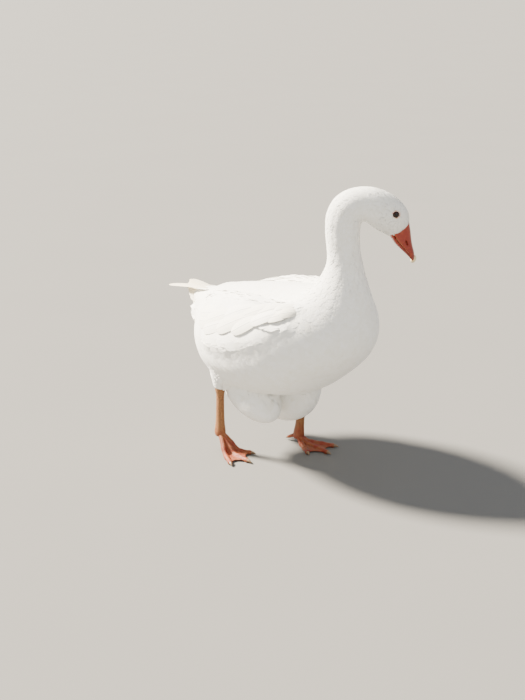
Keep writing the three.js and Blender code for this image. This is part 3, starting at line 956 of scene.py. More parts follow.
@dataclass
class LegPose:
    """Where a leg stands, how its foot meets the floor, and its thigh.

    Attributes:
        side: which leg it is.
        foot: (x, y) of the ankle.
        ankle: its height.
        slope: distance over which the toes come down to the floor.
        lean: how far ahead of the ankle the shank's top stands.
        inward: sign of Y toward the other leg.
        shank_length: length of shank between ankle and thigh.
        bury: how far the shank goes into the foot.
        thigh_rise, thigh_forward: from the thigh's low end to its top.
        thigh_inward: share of its distance from the middle that it loses there.
        sleeve: how far the thigh comes down over the shank.
        thigh_halves: (share of its height, half width).
        thigh_deep: its depth over its width.
        thigh_coat: depth of its coat.
        thigh_feathers: feather length at its low end and its top.
    """

    side: Side
    foot: tuple
    ankle: float
    slope: float
    lean: float
    inward: int
    shank_length: float = 108.0
    bury: float = 4.0
    thigh_rise: float = 80.0
    thigh_forward: float = 14.0
    thigh_inward: float = 0.12
    sleeve: float = 8.0
    thigh_halves: tuple = ((0.0, 12.5), (0.3, 21.75), (1.0, 31.0))
    thigh_deep: float = 1.25
    thigh_coat: float = 3.5
    thigh_feathers: tuple = (11, 24)

    def shank_point(self, share: Points) -> Points:
        """Middle of the shank at a share of its height."""
        x = self.foot[0] + self.lean * share
        z = self.ankle - self.bury + (self.shank_length + self.bury) * share
        return np.stack([x, np.full_like(x, self.foot[1]), z], axis=-1)

    def thigh_form(self) -> Form:
        """The feathered thigh, its coat lying down toward the shank."""
        share = np.linspace(1.0, 0.0, 30)
        low = self.ankle + self.shank_length - self.sleeve
        middle = np.column_stack([
            self.foot[0] + self.lean + self.thigh_forward * share,
            self.foot[1] * (1 - self.thigh_inward * share), low + self.thigh_rise * share])
        stops, halves = zip(*self.thigh_halves)
        half = np.interp(share, stops, halves)

        def loft(grow: float) -> Points:
            """Rings of the thigh, pushed out by grow."""
            zero = np.zeros_like(share)
            wide = np.maximum(half + grow, 4.0)
            return oval_rings(middle, np.column_stack([wide * self.thigh_deep, zero, zero]),
                              np.column_stack([zero, wide, zero]), 40)

        rings = loft(0.0)
        return Form(Zone.THIGH, loft(-self.thigh_coat), unit(np.gradient(rings, axis=0)),
                    np.interp(share, (0, 1), self.thigh_feathers),
                    np.full(len(share), self.thigh_coat))


LEGS = (LegPose(Side.RIGHT, (-102.0, -90.0), 36.0, 46.0, 2.0, 1),
        LegPose(Side.LEFT, (-27.0, 56.0), 13.0, 26.0, 14.0, -1))


# --- skin


@dataclass
class Skin:
    """The one skin of the goose, blended from its forms, and the map its coat grows on.

    Attributes:
        forms: what it is blended from.
        voxel: size of its cells.
        blends: rounds of smoothing.
        flow_blends: rounds that smooth the way the coat lies.
        value_blends: rounds that smooth the length and depth of the coat.
        fills: rounds that fill creases.
        fill_step: share of the way that each round goes.
        fold_low, fold_high: heights between which the filling grows to its full strength.
        fold_share: its strength under fold_low.
        neck_low, neck_high: heights between which it ends, so that the neck keeps its furrows.
        tip_near, tip_far: distances from a wing tip between which it starts.
        hollow: middle of the hollow before the left wing's rear half.
        hollow_reach: its half lengths along X, Y and Z.
        hollow_depth: its depth.
        hollow_edge: power that shapes its rim.
    """

    forms: list[Form]
    voxel: float = 3.0
    blends: int = 8
    flow_blends: int = 14
    value_blends: int = 6
    fills: int = 60
    fill_step: float = 0.9
    fold_low: float = 150.0
    fold_high: float = 185.0
    fold_share: float = 0.8
    neck_low: float = 395.0
    neck_high: float = 430.0
    tip_near: float = 28.0
    tip_far: float = 60.0
    hollow: tuple = (72.0, 103.0, 334.0)
    hollow_reach: tuple = (66.0, 45.0, 30.0)
    hollow_depth: float = 9.0
    hollow_edge: float = 1.2

    def build(self) -> Piece:
        """Makes the skin: joins the forms, blends them and unwraps the result."""
        parts = [add_rings(f"form_{k}", form.inner) for k, form in enumerate(self.forms)]
        piece = joined("skin", *parts)
        modified(piece, "REMESH", mode="VOXEL", voxel_size=self.voxel / METRE,
                 use_smooth_shade=True)
        modified(piece, "SMOOTH", factor=0.5, iterations=self.blends)
        modified(piece, "TRIANGULATE")
        self.fill_creases(piece.data)
        pick(piece)
        bpy.ops.object.mode_set(mode="EDIT")
        bpy.ops.mesh.select_all(action="SELECT")
        bpy.ops.uv.smart_project(angle_limit=math.radians(66), island_margin=0.004)
        bpy.ops.object.mode_set(mode="OBJECT")
        piece.data.uv_layers[0].name = BAKE_MAP
        self.piece = piece
        self.read()
        self.lay_coat()
        return piece

    def fill_creases(self, mesh: bpy.types.Mesh) -> None:
        """Fills the creases between forms, and sinks the hollow before each folded wing.

        Args:
            mesh: the blended skin's mesh.
        """
        count = len(mesh.vertices)
        points = mesh_array(mesh.vertices, "co", 3)
        normals = mesh_array(mesh.vertices, "normal", 3)
        a, b = mesh_array(mesh.edges, "vertices", 2, np.int32).T
        degree = np.bincount(a, minlength=count) + np.bincount(b, minlength=count)
        height = points[:, 2] * METRE
        share = self.fold_share + (1 - self.fold_share) * smoothstep(
            height, self.fold_low, self.fold_high)
        share *= 1 - smoothstep(height, self.neck_low, self.neck_high)
        for side in Side:
            tip = to_frame(np.array(WING_TIP) * (1, side.value, 1))
            apart = np.linalg.norm(points - tip, axis=1) * METRE
            share *= smoothstep(apart, self.tip_near, self.tip_far)
        for _ in range(self.fills):
            total = np.stack([np.bincount(a, points[b, k], count)
                              + np.bincount(b, points[a, k], count) for k in range(3)], axis=1)
            step = total / degree[:, None] - points
            out = np.maximum(np.sum(step * normals, axis=1), 0.0) * share * self.fill_step
            points = points + normals * out[:, None]
        for side in Side:
            centre = to_frame(np.array(self.hollow) * (1, side.value, 1))
            apart = (points - centre) / (np.array(self.hollow_reach) / METRE)
            sunk = np.maximum(1 - np.sum(apart ** 2, axis=1), 0.0) ** self.hollow_edge
            points = points - normals * (sunk * self.hollow_depth / METRE)[:, None]
        mesh.vertices.foreach_set("co", points.ravel())
        mesh.update()

    def read(self) -> None:
        """Reads the mesh as arrays, in the own frame."""
        mesh = self.piece.data
        self.points = mesh_array(mesh.vertices, "co", 3) * METRE - (OWN_FRAME_X, 0, 0)
        self.faces = mesh_array(mesh.loops, "vertex_index", 1, np.int32).reshape(-1, 3)
        self.uv = mesh_array(mesh.uv_layers[BAKE_MAP].data, "uv", 2).reshape(-1, 3, 2)
        self.normals = mesh_array(mesh.vertices, "normal", 3)
        self.edges = mesh_array(mesh.edges, "vertices", 2, np.int32)
        self.tree = BVHTree.FromPolygons(self.points.tolist(), self.faces.tolist())
        self.normals = unit(self.spread(self.normals, 3))

    def spread(self, values: Points, times: int) -> Points:
        """Values averaged with their neighbours over the mesh.

        Args:
            values: one or more for each point.
            times: rounds.

        Returns:
            Array with the shape of values.
        """
        a, b = self.edges.T
        count = len(self.points)
        share = np.bincount(a, minlength=count) + np.bincount(b, minlength=count) + 1.0
        field = values.reshape(count, -1).astype(float)
        for _ in range(times):
            total = field.copy()
            for k in range(field.shape[1]):
                total[:, k] += (np.bincount(a, field[b, k], count)
                                + np.bincount(b, field[a, k], count))
            field = total / share[:, None]
        return field.reshape(values.shape)

    def lay_coat(self) -> None:
        """Takes flow, feather length, depth and zone from the nearest form."""
        points = np.vstack([form.inner.reshape(-1, 3) for form in self.forms])
        flow = np.vstack([form.flow.reshape(-1, 3) for form in self.forms])

        def each(row: Callable[[Form], Points]) -> Points:
            """A value of every ring of every form, repeated for its points."""
            return np.concatenate([np.repeat(row(form), form.inner.shape[1])
                                   for form in self.forms])

        coat = each(lambda form: form.coat)
        depth = each(lambda form: form.depth)
        zone = each(lambda form: np.full(len(form.coat), form.zone.value))
        tree = KDTree(len(points))
        for k, point in enumerate(points):
            tree.insert(point, k)
        tree.balance()
        near = np.array([tree.find(point)[1] for point in self.points])
        self.flow = flattened(self.spread(flow[near], self.flow_blends), self.normals)
        self.coat = self.spread(coat[near], self.value_blends)
        self.depth = self.spread(depth[near], self.value_blends)
        self.zone = zone[near]

    def drop(self, points: Points) -> tuple[Points, Points, Points]:
        """Nearest places on the skin.

        Args:
            points: (n, 3) in the own frame.

        Returns:
            Places (n, 3), face numbers (n,) and corner shares (n, 3).
        """
        places, faces = [], []
        for point in points:
            place, _, face, _ = self.tree.find_nearest(point)
            places.append(place)
            faces.append(face)
        spots, numbers = np.array(places), np.array(faces)
        a, b, c = (self.points[self.faces[numbers, k]] for k in range(3))
        v0, v1, v2 = b - a, c - a, spots - a
        d00, d01, d11 = (np.sum(p * q, axis=1) for p, q in ((v0, v0), (v0, v1), (v1, v1)))
        d20, d21 = np.sum(v2 * v0, axis=1), np.sum(v2 * v1, axis=1)
        span = np.maximum(d00 * d11 - d01 * d01, 1e-12)
        v = (d11 * d20 - d01 * d21) / span
        w = (d00 * d21 - d01 * d20) / span
        return spots, numbers, np.column_stack([1 - v - w, v, w])

    def at(self, numbers: Points, shares: Points, values: Points) -> Points:
        """A value of the skin's points, read inside its faces."""
        corner = values[self.faces[numbers]]
        if corner.ndim == 2:
            return np.sum(corner * shares, axis=1)
        return np.sum(corner * shares[..., None], axis=1)

    def bake_spot(self, numbers: Points, shares: Points) -> Points:
        """Place on the skin's unwrap."""
        return np.sum(self.uv[numbers] * shares[..., None], axis=1)


# --- feathers


@dataclass(frozen=True)
class Vane:
    """Shape of one kind of feather.

    Attributes:
        stops: shares of its length.
        halves: half width at each stop, as a share of the largest.
        columns: points across its upper side.
        crown: rise of its middle, as a share of the half width.
        thick: thickness where it has more than three columns.
    """

    stops: tuple
    halves: tuple
    columns: int = 3
    crown: float = 0.12
    thick: float = 0.3

    def faces(self) -> tuple[np.ndarray, np.ndarray, set]:
        """Triangles, (across, along) of each point, and the edges of its outline."""
        rows, cols = len(self.stops), self.columns
        top = np.arange(rows * cols).reshape(rows, cols)
        uv = [(c / (cols - 1), t) for t in self.stops for c in range(cols)]
        inner = cols - 2 if cols > 3 else 0
        if inner:
            under = top.copy()
            under[:, 1:-1] = rows * cols + np.arange(rows * inner).reshape(rows, inner)
            uv += [(c / (cols - 1), t) for t in self.stops for c in range(1, cols - 1)]
        else:
            under = top[:, [0, -1]]
        faces = []

        def quad(a: int, b: int, c: int, d: int) -> None:
            """Adds a four-sided face as two triangles."""
            faces.extend([(a, b, c), (a, c, d)])

        for r in range(rows - 1):
            for c in range(cols - 1):
                quad(top[r, c], top[r, c + 1], top[r + 1, c + 1], top[r + 1, c])
            for c in range(under.shape[1] - 1):
                quad(under[r, c + 1], under[r, c], under[r + 1, c], under[r + 1, c + 1])
        for r, flip in ((0, True), (rows - 1, False)):
            loop = list(top[r]) + list(under[r, 1:-1][::-1])
            for k in range(1, len(loop) - 1):
                tri = (loop[0], loop[k], loop[k + 1])
                faces.append(tri if flip else tri[::-1])
        rim = set()
        for r in range(rows - 1):
            rim |= {(top[r, 0], top[r + 1, 0]), (top[r, -1], top[r + 1, -1])}
        for r in (0, rows - 1):
            rim |= {(top[r, c], top[r, c + 1]) for c in range(cols - 1)}
        return np.array(faces), np.array(uv), rim


BODY_VANE = Vane((0.0, 0.22, 0.6, 0.86, 1.0), (0.5, 0.82, 1.0, 0.84, 0.34), crown=0.06)
SMALL_VANE = Vane((0.0, 0.3, 0.75, 1.0), (0.5, 0.9, 0.9, 0.28), crown=0.08)
DOWN_VANE = Vane((0.0, 0.22, 0.6, 0.86, 1.0), (0.5, 0.9, 1.0, 0.66, 0.12), crown=0.12)
QUILL_VANE = Vane((0.0, 0.12, 0.26, 0.42, 0.58, 0.72, 0.83, 0.91, 0.965, 1.0),
                  (0.3, 0.62, 0.85, 0.97, 1.0, 0.97, 0.89, 0.74, 0.52, 0.2),
                  columns=7, crown=0.17, thick=0.5)


@dataclass
class Feathers:
    """A batch of feathers of one kind, laid out as arrays.

    Attributes:
        vane: their shape.
        middle: (n, rows, 3) middle line of each.
        side: (n, rows, 3) the way across.
        normal: (n, rows, 3) the way up from the skin.
        half: (n,) largest half width.
        spot: (n, 2) place on the skin's unwrap.
        tone: (n,) shade, 0 to 1.
    """

    vane: Vane
    middle: Points
    side: Points
    normal: Points
    half: Points
    spot: Points
    tone: Points

    def build(self, name: str) -> Piece:
        """Makes one mesh of the whole batch.

        Args:
            name: the piece's name.

        Returns:
            The piece, with its two UV maps, its tone and its sharp rims.
        """
        faces, place, rim = self.vane.faces()
        count, cols = len(self.middle), self.vane.columns
        across = np.linspace(-1, 1, cols)
        halves = np.array(self.vane.halves)[None, :, None] * self.half[:, None, None]
        sheet = (self.middle[:, :, None]
                 + self.side[:, :, None] * (halves * across)[..., None]
                 + self.normal[:, :, None] * (halves * self.vane.crown * (1 - across ** 2))[..., None])
        points = sheet.reshape(count, -1, 3)
        if cols > 3:
            under = sheet[:, :, 1:-1] - self.normal[:, :, None] * self.vane.thick
            points = np.concatenate([points, under.reshape(count, -1, 3)], axis=1)
        size = points.shape[1]
        every = (faces[None] + size * np.arange(count)[:, None, None]).reshape(-1, 3)
        mesh = bpy.data.meshes.new(name)
        mesh.vertices.add(count * size)
        mesh.vertices.foreach_set("co", to_frame(points).ravel())
        mesh.loops.add(every.size)
        mesh.loops.foreach_set("vertex_index", every.ravel())
        mesh.polygons.add(len(every))
        mesh.polygons.foreach_set("loop_start", np.arange(0, every.size, 3))
        mesh.polygons.foreach_set("use_smooth", np.ones(len(every), bool))
        mesh.update(calc_edges=True)
        local = every.ravel() % size
        owner = every.ravel() // size
        patch = self.spot[owner] + (place[local] - 0.5) * BAKE_PATCH
        for layer, values in ((VANE_MAP, place[local]), (BAKE_MAP, patch)):
            mesh.uv_layers.new(name=layer).data.foreach_set("uv", values.ravel())
        tone = mesh.attributes.new("tone", "FLOAT", "POINT")
        tone.data.foreach_set("value", np.repeat(self.tone, size))
        pairs = np.sort(mesh_array(mesh.edges, "vertices", 2, np.int64) % size, axis=1)
        known = np.array([min(e) * size + max(e) for e in rim])
        sharp = np.isin(pairs[:, 0] * size + pairs[:, 1], known)
        crease = mesh.attributes.new("sharp_edge", "BOOLEAN", "EDGE")
        crease.data.foreach_set("value", sharp)
        piece = bpy.data.objects.new(name, mesh)
        bpy.context.scene.collection.objects.link(piece)
        return piece


def laid_on(skin: Skin, roots: Points, ways: Points, lengths: Points, vane: Vane,
            lift: Points, sink: float = 0.4, curve: float = 0.36,
            droop: float = 0.07) -> tuple:
    """Walks each feather's middle line over the skin.

    Args:
        skin: what they lie on.
        roots: (n, 3) where they grow.
        ways: (n, 3) the way they point.
        lengths: (n,) their lengths.
        vane: their shape.
        lift: (n,) height of the tips over the skin.
        sink: depth of the root under the skin.
        curve: below 1 for a line that rises early and then runs level.
        droop: how far the tip settles on what lies under it, as a share of the lift.

    Returns:
        Middle lines, sides, normals, all (n, rows, 3), and places on the unwrap.
    """
    here, numbers, shares = skin.drop(roots)
    spot = skin.bake_spot(numbers, shares)
    way = ways
    lines, sides, normals = [], [], []
    before = 0.0
    for stop in vane.stops:
        if stop > 0:
            here = here + way * (lengths * (stop - before))[:, None]
            here, numbers, shares = skin.drop(here)
        before = stop
        normal = unit(skin.at(numbers, shares, skin.normals))
        way = flattened(way, normal)
        rise = -sink + (lift + sink) * stop ** curve
        rise = rise - droop * lift * smoothstep(stop, 0.7, 1.0)
        lines.append(here + normal * rise[:, None])
        sides.append(np.cross(way, normal))
        normals.append(normal)
    return (np.stack(lines, 1), np.stack(sides, 1), np.stack(normals, 1), spot)


@dataclass
class Coat:
    """Small feathers scattered over a part of the skin.

    Attributes:
        name: the piece's name.
        vane: the feathers' shape.
        zones: forms it covers.
        spacing: least distance between roots, as a share of the feather length.
        width: width as a share of the length.
        seed: of its random draws.
        long_over, long_under: feather lengths between which it grows.
        loose: spread of the feathers' ways.
        lift: height of the tips, as a share of the coat's depth.
        bare: (middle, reach) of places left free, in the own frame.
        crowd: tries for each root that would fit.
        vary_length, vary_lift, vary_width: limits of random factors.
        tone: mean and spread of the shade.
    """

    name: str
    vane: Vane
    zones: tuple
    spacing: float
    width: float
    seed: int
    long_over: float = 0.0
    long_under: float = 99.0
    loose: float = 0.06
    lift: float = 1.0
    bare: tuple = ()
    crowd: float = 4.5
    vary_length: tuple = (0.88, 1.12)
    vary_lift: tuple = (0.95, 1.03)
    vary_width: tuple = (0.9, 1.1)
    tone: tuple = (0.72, 0.16)

    def build(self, skin: Skin) -> Piece:
        """Scatters the roots and lays the feathers.

        Args:
            skin: the skin they grow on.

        Returns:
            The piece.
        """
        rng = np.random.default_rng(self.seed)
        roots, numbers, shares = self.scatter(skin, rng)
        flow = unit(skin.at(numbers, shares, skin.flow))
        normal = unit(skin.at(numbers, shares, skin.normals))
        side = np.cross(flow, normal)
        count = len(roots)
        way = unit(flow + side * rng.normal(0, self.loose, count)[:, None])
        length = skin.at(numbers, shares, skin.coat) * rng.uniform(*self.vary_length, count)
        lift = skin.at(numbers, shares, skin.depth) * self.lift
        lift = lift * rng.uniform(*self.vary_lift, count)
        middle, across, normals, spot = laid_on(skin, roots, way, length, self.vane, lift)
        half = 0.5 * self.width * length * rng.uniform(*self.vary_width, count)
        tone = np.clip(rng.normal(*self.tone, count), 0, 1)
        LOG.info("%s: %d feathers", self.name, count)
        return Feathers(self.vane, middle, across, normals, half, spot, tone).build(self.name)

    def scatter(self, skin: Skin, rng: np.random.Generator) -> tuple:
        """Random roots that keep their distance from one another.

        Args:
            skin: what they grow on.
            rng: source of the random draws.

        Returns:
            Points (n, 3), face numbers (n,) and corner shares (n, 3).
        """
        corner = skin.points[skin.faces]
        area = 0.5 * np.linalg.norm(np.cross(corner[:, 1] - corner[:, 0],
                                             corner[:, 2] - corner[:, 0]), axis=1)
        length = skin.coat[skin.faces].mean(axis=1)
        zone = skin.zone[skin.faces[:, 0]]
        mask = np.isin(zone, [z.value for z in self.zones])
        mask &= (length > self.long_over) & (length <= self.long_under)
        middle = corner.mean(axis=1)
        for centre, reach in self.bare:
            mask &= np.linalg.norm(middle - centre, axis=1) > reach
        gap = self.spacing * length
        expected = np.where(mask, self.crowd * area / gap ** 2, 0.0)
        tries = rng.poisson(expected)
        numbers = np.repeat(np.arange(len(tries)), tries)
        rng.shuffle(numbers)
        draw = rng.random((len(numbers), 2))
        over = draw.sum(axis=1) > 1
        draw[over] = 1 - draw[over]
        shares = np.column_stack([1 - draw.sum(axis=1), draw])
        points = np.sum(corner[numbers] * shares[..., None], axis=1)
        kept = spaced_out(points, gap[numbers])
        return points[kept], numbers[kept], shares[kept]


def spaced_out(points: Points, gaps: Points) -> list[int]:
    """Numbers of the points kept so that each keeps its gap from those before it.

    Args:
        points: (n, 3).
        gaps: (n,) least distances.

    Returns:
        The numbers, in order.
    """
    cell = float(gaps.max())
    grid: dict[tuple, list] = {}
    kept = []
    keys = np.floor(points / cell).astype(int)
    offsets = [(a, b, c) for a in (-1, 0, 1) for b in (-1, 0, 1) for c in (-1, 0, 1)]
    for k, (point, key, gap) in enumerate(zip(points.tolist(), keys.tolist(), gaps.tolist())):
        limit = gap * gap
        clear = True
        for a, b, c in offsets:
            for q in grid.get((key[0] + a, key[1] + b, key[2] + c), ()):
                x, y, z = q[0] - point[0], q[1] - point[1], q[2] - point[2]
                if x ** 2 + y ** 2 + z ** 2 < limit:
                    clear = False
                    break
            if not clear:
                break
        if clear:
            kept.append(k)
            grid.setdefault(tuple(key), []).append(point)
    return kept


@dataclass(frozen=True)
class FeatherRow:
    """One row of large feathers across the wing.

    Attributes:
        place: share along the wing where they grow.
        length: of each feather.
        width: of each feather.
        low, high: angles round the wing between which they grow, 0 at its upper edge.
        lift: height of the tips.
        base: height over the skin that the row starts from.
        aim: degrees that they point down from the wing's own lines.
        sunk: how far its lowest feathers go under the small ones, 0 to 1.
    """

    place: float
    length: float
    width: float
    low: float
    high: float
    lift: float
    base: float = 0.0
    aim: float = 0.0
    sunk: float = 0.9


@dataclass
class Wing:
    """The large feathers of one folded wing, from the small ones at the shoulder to the tips.

    Attributes:
        side: which wing it is.
        skin: what they lie on.
        rows: from the tips to the shoulder, and one that crosses them.
        overlap: distance between neighbours, as a share of their width.
        sink: how far a feather's line moves to the skin at most.
        seed: of the random draws.
        samples: points that a row's line is measured with.
        jitter, start_jitter, vary_length, vary_aim: random share of a place in the row,
            distance along the wing, factor and angle.
        aim_length: length of feather over which it turns by its aim.
        held_from: place behind which feathers keep their tilt from half way.
        ease, fade: angles before and after a row's first one between which it rises.
        stack, stack_jitter: how far every second feather rises over its neighbours.
        settle: how far the tips settle.
        drop: how deep a faded feather lies.
        tone: mean and spread of the shade.
    """

    side: Side
    skin: Skin
    rows: tuple = (
        FeatherRow(0.60, 138, 22, 92, 124, 4.0, 0.0, -2, 0.4),
        FeatherRow(0.53, 136, 28, 70, 122, 4.2, 0.6, -2, 0.8),
        FeatherRow(0.45, 116, 32, 50, 118, 5.0, 0.9, 6, 0.9),
        FeatherRow(0.37, 96, 33, 44, 114, 5.8, 1.2, 16),
        FeatherRow(0.30, 80, 32, 40, 110, 6.4, 1.5, 24),
        FeatherRow(0.235, 66, 29, 40, 104, 6.6, 1.8, 30),
        FeatherRow(0.18, 54, 25, 38, 98, 6.4, 2.0, 28),
        FeatherRow(0.13, 44, 22, 36, 94, 6.0, 2.2, 24),
        FeatherRow(0.085, 36, 19, 34, 90, 5.4, 2.2, 20),
        FeatherRow(0.345, 104, 24, 114, 142, 6.4, 3.6, -34, 0.4),
    )
    overlap: float = 0.56
    sink: float = 7.0
    seed: int = 31
    samples: int = 60
    jitter: float = 0.12
    start_jitter: float = 3.0
    vary_length: tuple = (0.95, 1.05)
    vary_aim: float = 0.02
    aim_length: float = 60.0
    held_from: float = 0.5
    ease: float = 0.1
    fade: float = 0.5
    stack: float = 0.45
    stack_jitter: float = 0.25
    settle: float = 0.5
    drop: float = 2.2
    tone: tuple = (0.75, 0.15)

    def build(self) -> Piece:
        """Lays all rows as one piece."""
        form = WingForm(self.side)
        grid = form.loft(0.0)
        rng = np.random.default_rng(self.seed)
        span = np.concatenate([[0], np.cumsum(np.linalg.norm(
            np.diff(grid.mean(axis=1), axis=0), axis=1))])
        batches = [self.row(row, grid, span, rng) for row in self.rows]
        merged = [np.concatenate(parts) for parts in zip(*batches)]
        tone = np.clip(rng.normal(*self.tone, len(merged[0])), 0, 1)
        return Feathers(QUILL_VANE, *merged, tone).build(f"wing_feathers_{self.side.tag}")

    def row(self, row: FeatherRow, grid: Points, span: Points, rng: np.random.Generator) -> tuple:
        """One row of feathers.

        Args:
            row: what the row is like.
            grid: (n, m, 3) rings of the wing.
            span: (n,) distance along it of each ring.
            rng: source of the random draws.

        Returns:
            Middle lines, sides, normals, half widths and places on the unwrap.
        """
        ring = int(round(row.place * (len(grid) - 1)))
        angles = np.radians(np.linspace(row.low, row.high, self.samples))
        line = self.on_wing(grid, span, np.full(self.samples, span[ring]), angles)
        arc = np.concatenate([[0], np.cumsum(np.linalg.norm(np.diff(line, axis=0), axis=1))])
        count = max(3, int(arc[-1] / (row.width * self.overlap)))
        moved = rng.uniform(-self.jitter, self.jitter, count)
        angle = np.interp((np.arange(count) + moved + 0.5) / count * arc[-1], arc, angles)
        start = span[ring] + rng.uniform(-self.start_jitter, self.start_jitter, count)
        length = row.length * rng.uniform(*self.vary_length, count)
        stops = np.array(QUILL_VANE.stops)
        drift = math.radians(row.aim) + rng.normal(0, self.vary_aim, count)
        places = start[:, None] + length[:, None] * stops[None]
        around = (angle[:, None]
                  + drift[:, None] * stops[None] * length[:, None] / self.aim_length)
        path = self.on_wing(grid, span, places, around)
        found, numbers, shares = self.skin.drop(path.reshape(-1, 3))
        normal = unit(self.skin.at(numbers, shares, self.skin.normals)).reshape(path.shape)
        spot = self.skin.bake_spot(numbers, shares).reshape(count, -1, 2)[:, 0]
        shift = found.reshape(path.shape) - path
        far = np.linalg.norm(shift, axis=-1, keepdims=True)
        ground = path + shift * np.minimum(1.0, self.sink / np.maximum(far, 1e-9))
        ground = self.eased(ground, 3)
        half = path.shape[1] // 2
        if row.place > self.held_from:
            normal[:, half:] = normal[:, half - 1:half]
        normal = unit(self.eased(normal, 5))
        rise = row.base + (row.lift - row.base) * stops ** 0.4
        rise = rise - self.settle * smoothstep(stops, 0.75, 1.0)
        inner, outer = math.radians(row.low), math.radians(row.high)
        shown = smoothstep(angle, inner - self.ease, inner + self.fade)
        shown *= 1.0 - row.sunk * smoothstep(angle, outer - self.fade, outer)
        shown = shown[:, None]
        stack = self.stack * (np.arange(count) % 2) + rng.uniform(0, self.stack_jitter, count)
        rise = rise[None] * shown + stack[:, None] * stops[None] - self.drop * (1 - shown)
        middle = ground + normal * rise[..., None]
        way = unit(np.gradient(middle, axis=1))
        side = unit(np.cross(way, normal))
        return middle, side, np.cross(side, way), np.full(count, row.width / 2), spot

    @staticmethod
    def eased(lines: Points, times: int) -> Points:
        """Lines with each inner point moved toward the mean of its neighbours."""
        for _ in range(times):
            inner = (lines[:, :-2] + 2 * lines[:, 1:-1] + lines[:, 2:]) / 4
            lines = np.concatenate([lines[:, :1], inner, lines[:, -1:]], axis=1)
        return lines

    @staticmethod
    def on_wing(grid: Points, span: Points, places: Points, angles: Points) -> Points:
        """Points on the wing's form, run on straight past its rear end.

        Args:
            grid: (n, m, 3) rings of the wing.
            span: (n,) distance along it of each ring.
            places: distances along.
            angles: angles round, 0 at the upper edge.

        Returns:
            Points with the shape of places.
        """
        last = 0.92 * span[-1]
        inside = np.minimum(places, last)
        ring = np.clip(np.interp(inside, span, np.arange(len(span))), 0, len(span) - 1.001)
        column = (angles / (2 * math.pi) * grid.shape[1]) % grid.shape[1]
        r0, c0 = ring.astype(int), column.astype(int)
        fr, fc = (ring - r0)[..., None], (column - c0)[..., None]
        c1 = (c0 + 1) % grid.shape[1]
        low = grid[r0, c0] * (1 - fc) + grid[r0, c1] * fc
        high = grid[r0 + 1, c0] * (1 - fc) + grid[r0 + 1, c1] * fc
        point = low * (1 - fr) + high * fr
        beyond = np.maximum(places - last, 0.0)[..., None]
        return point + unit(high - low) * beyond


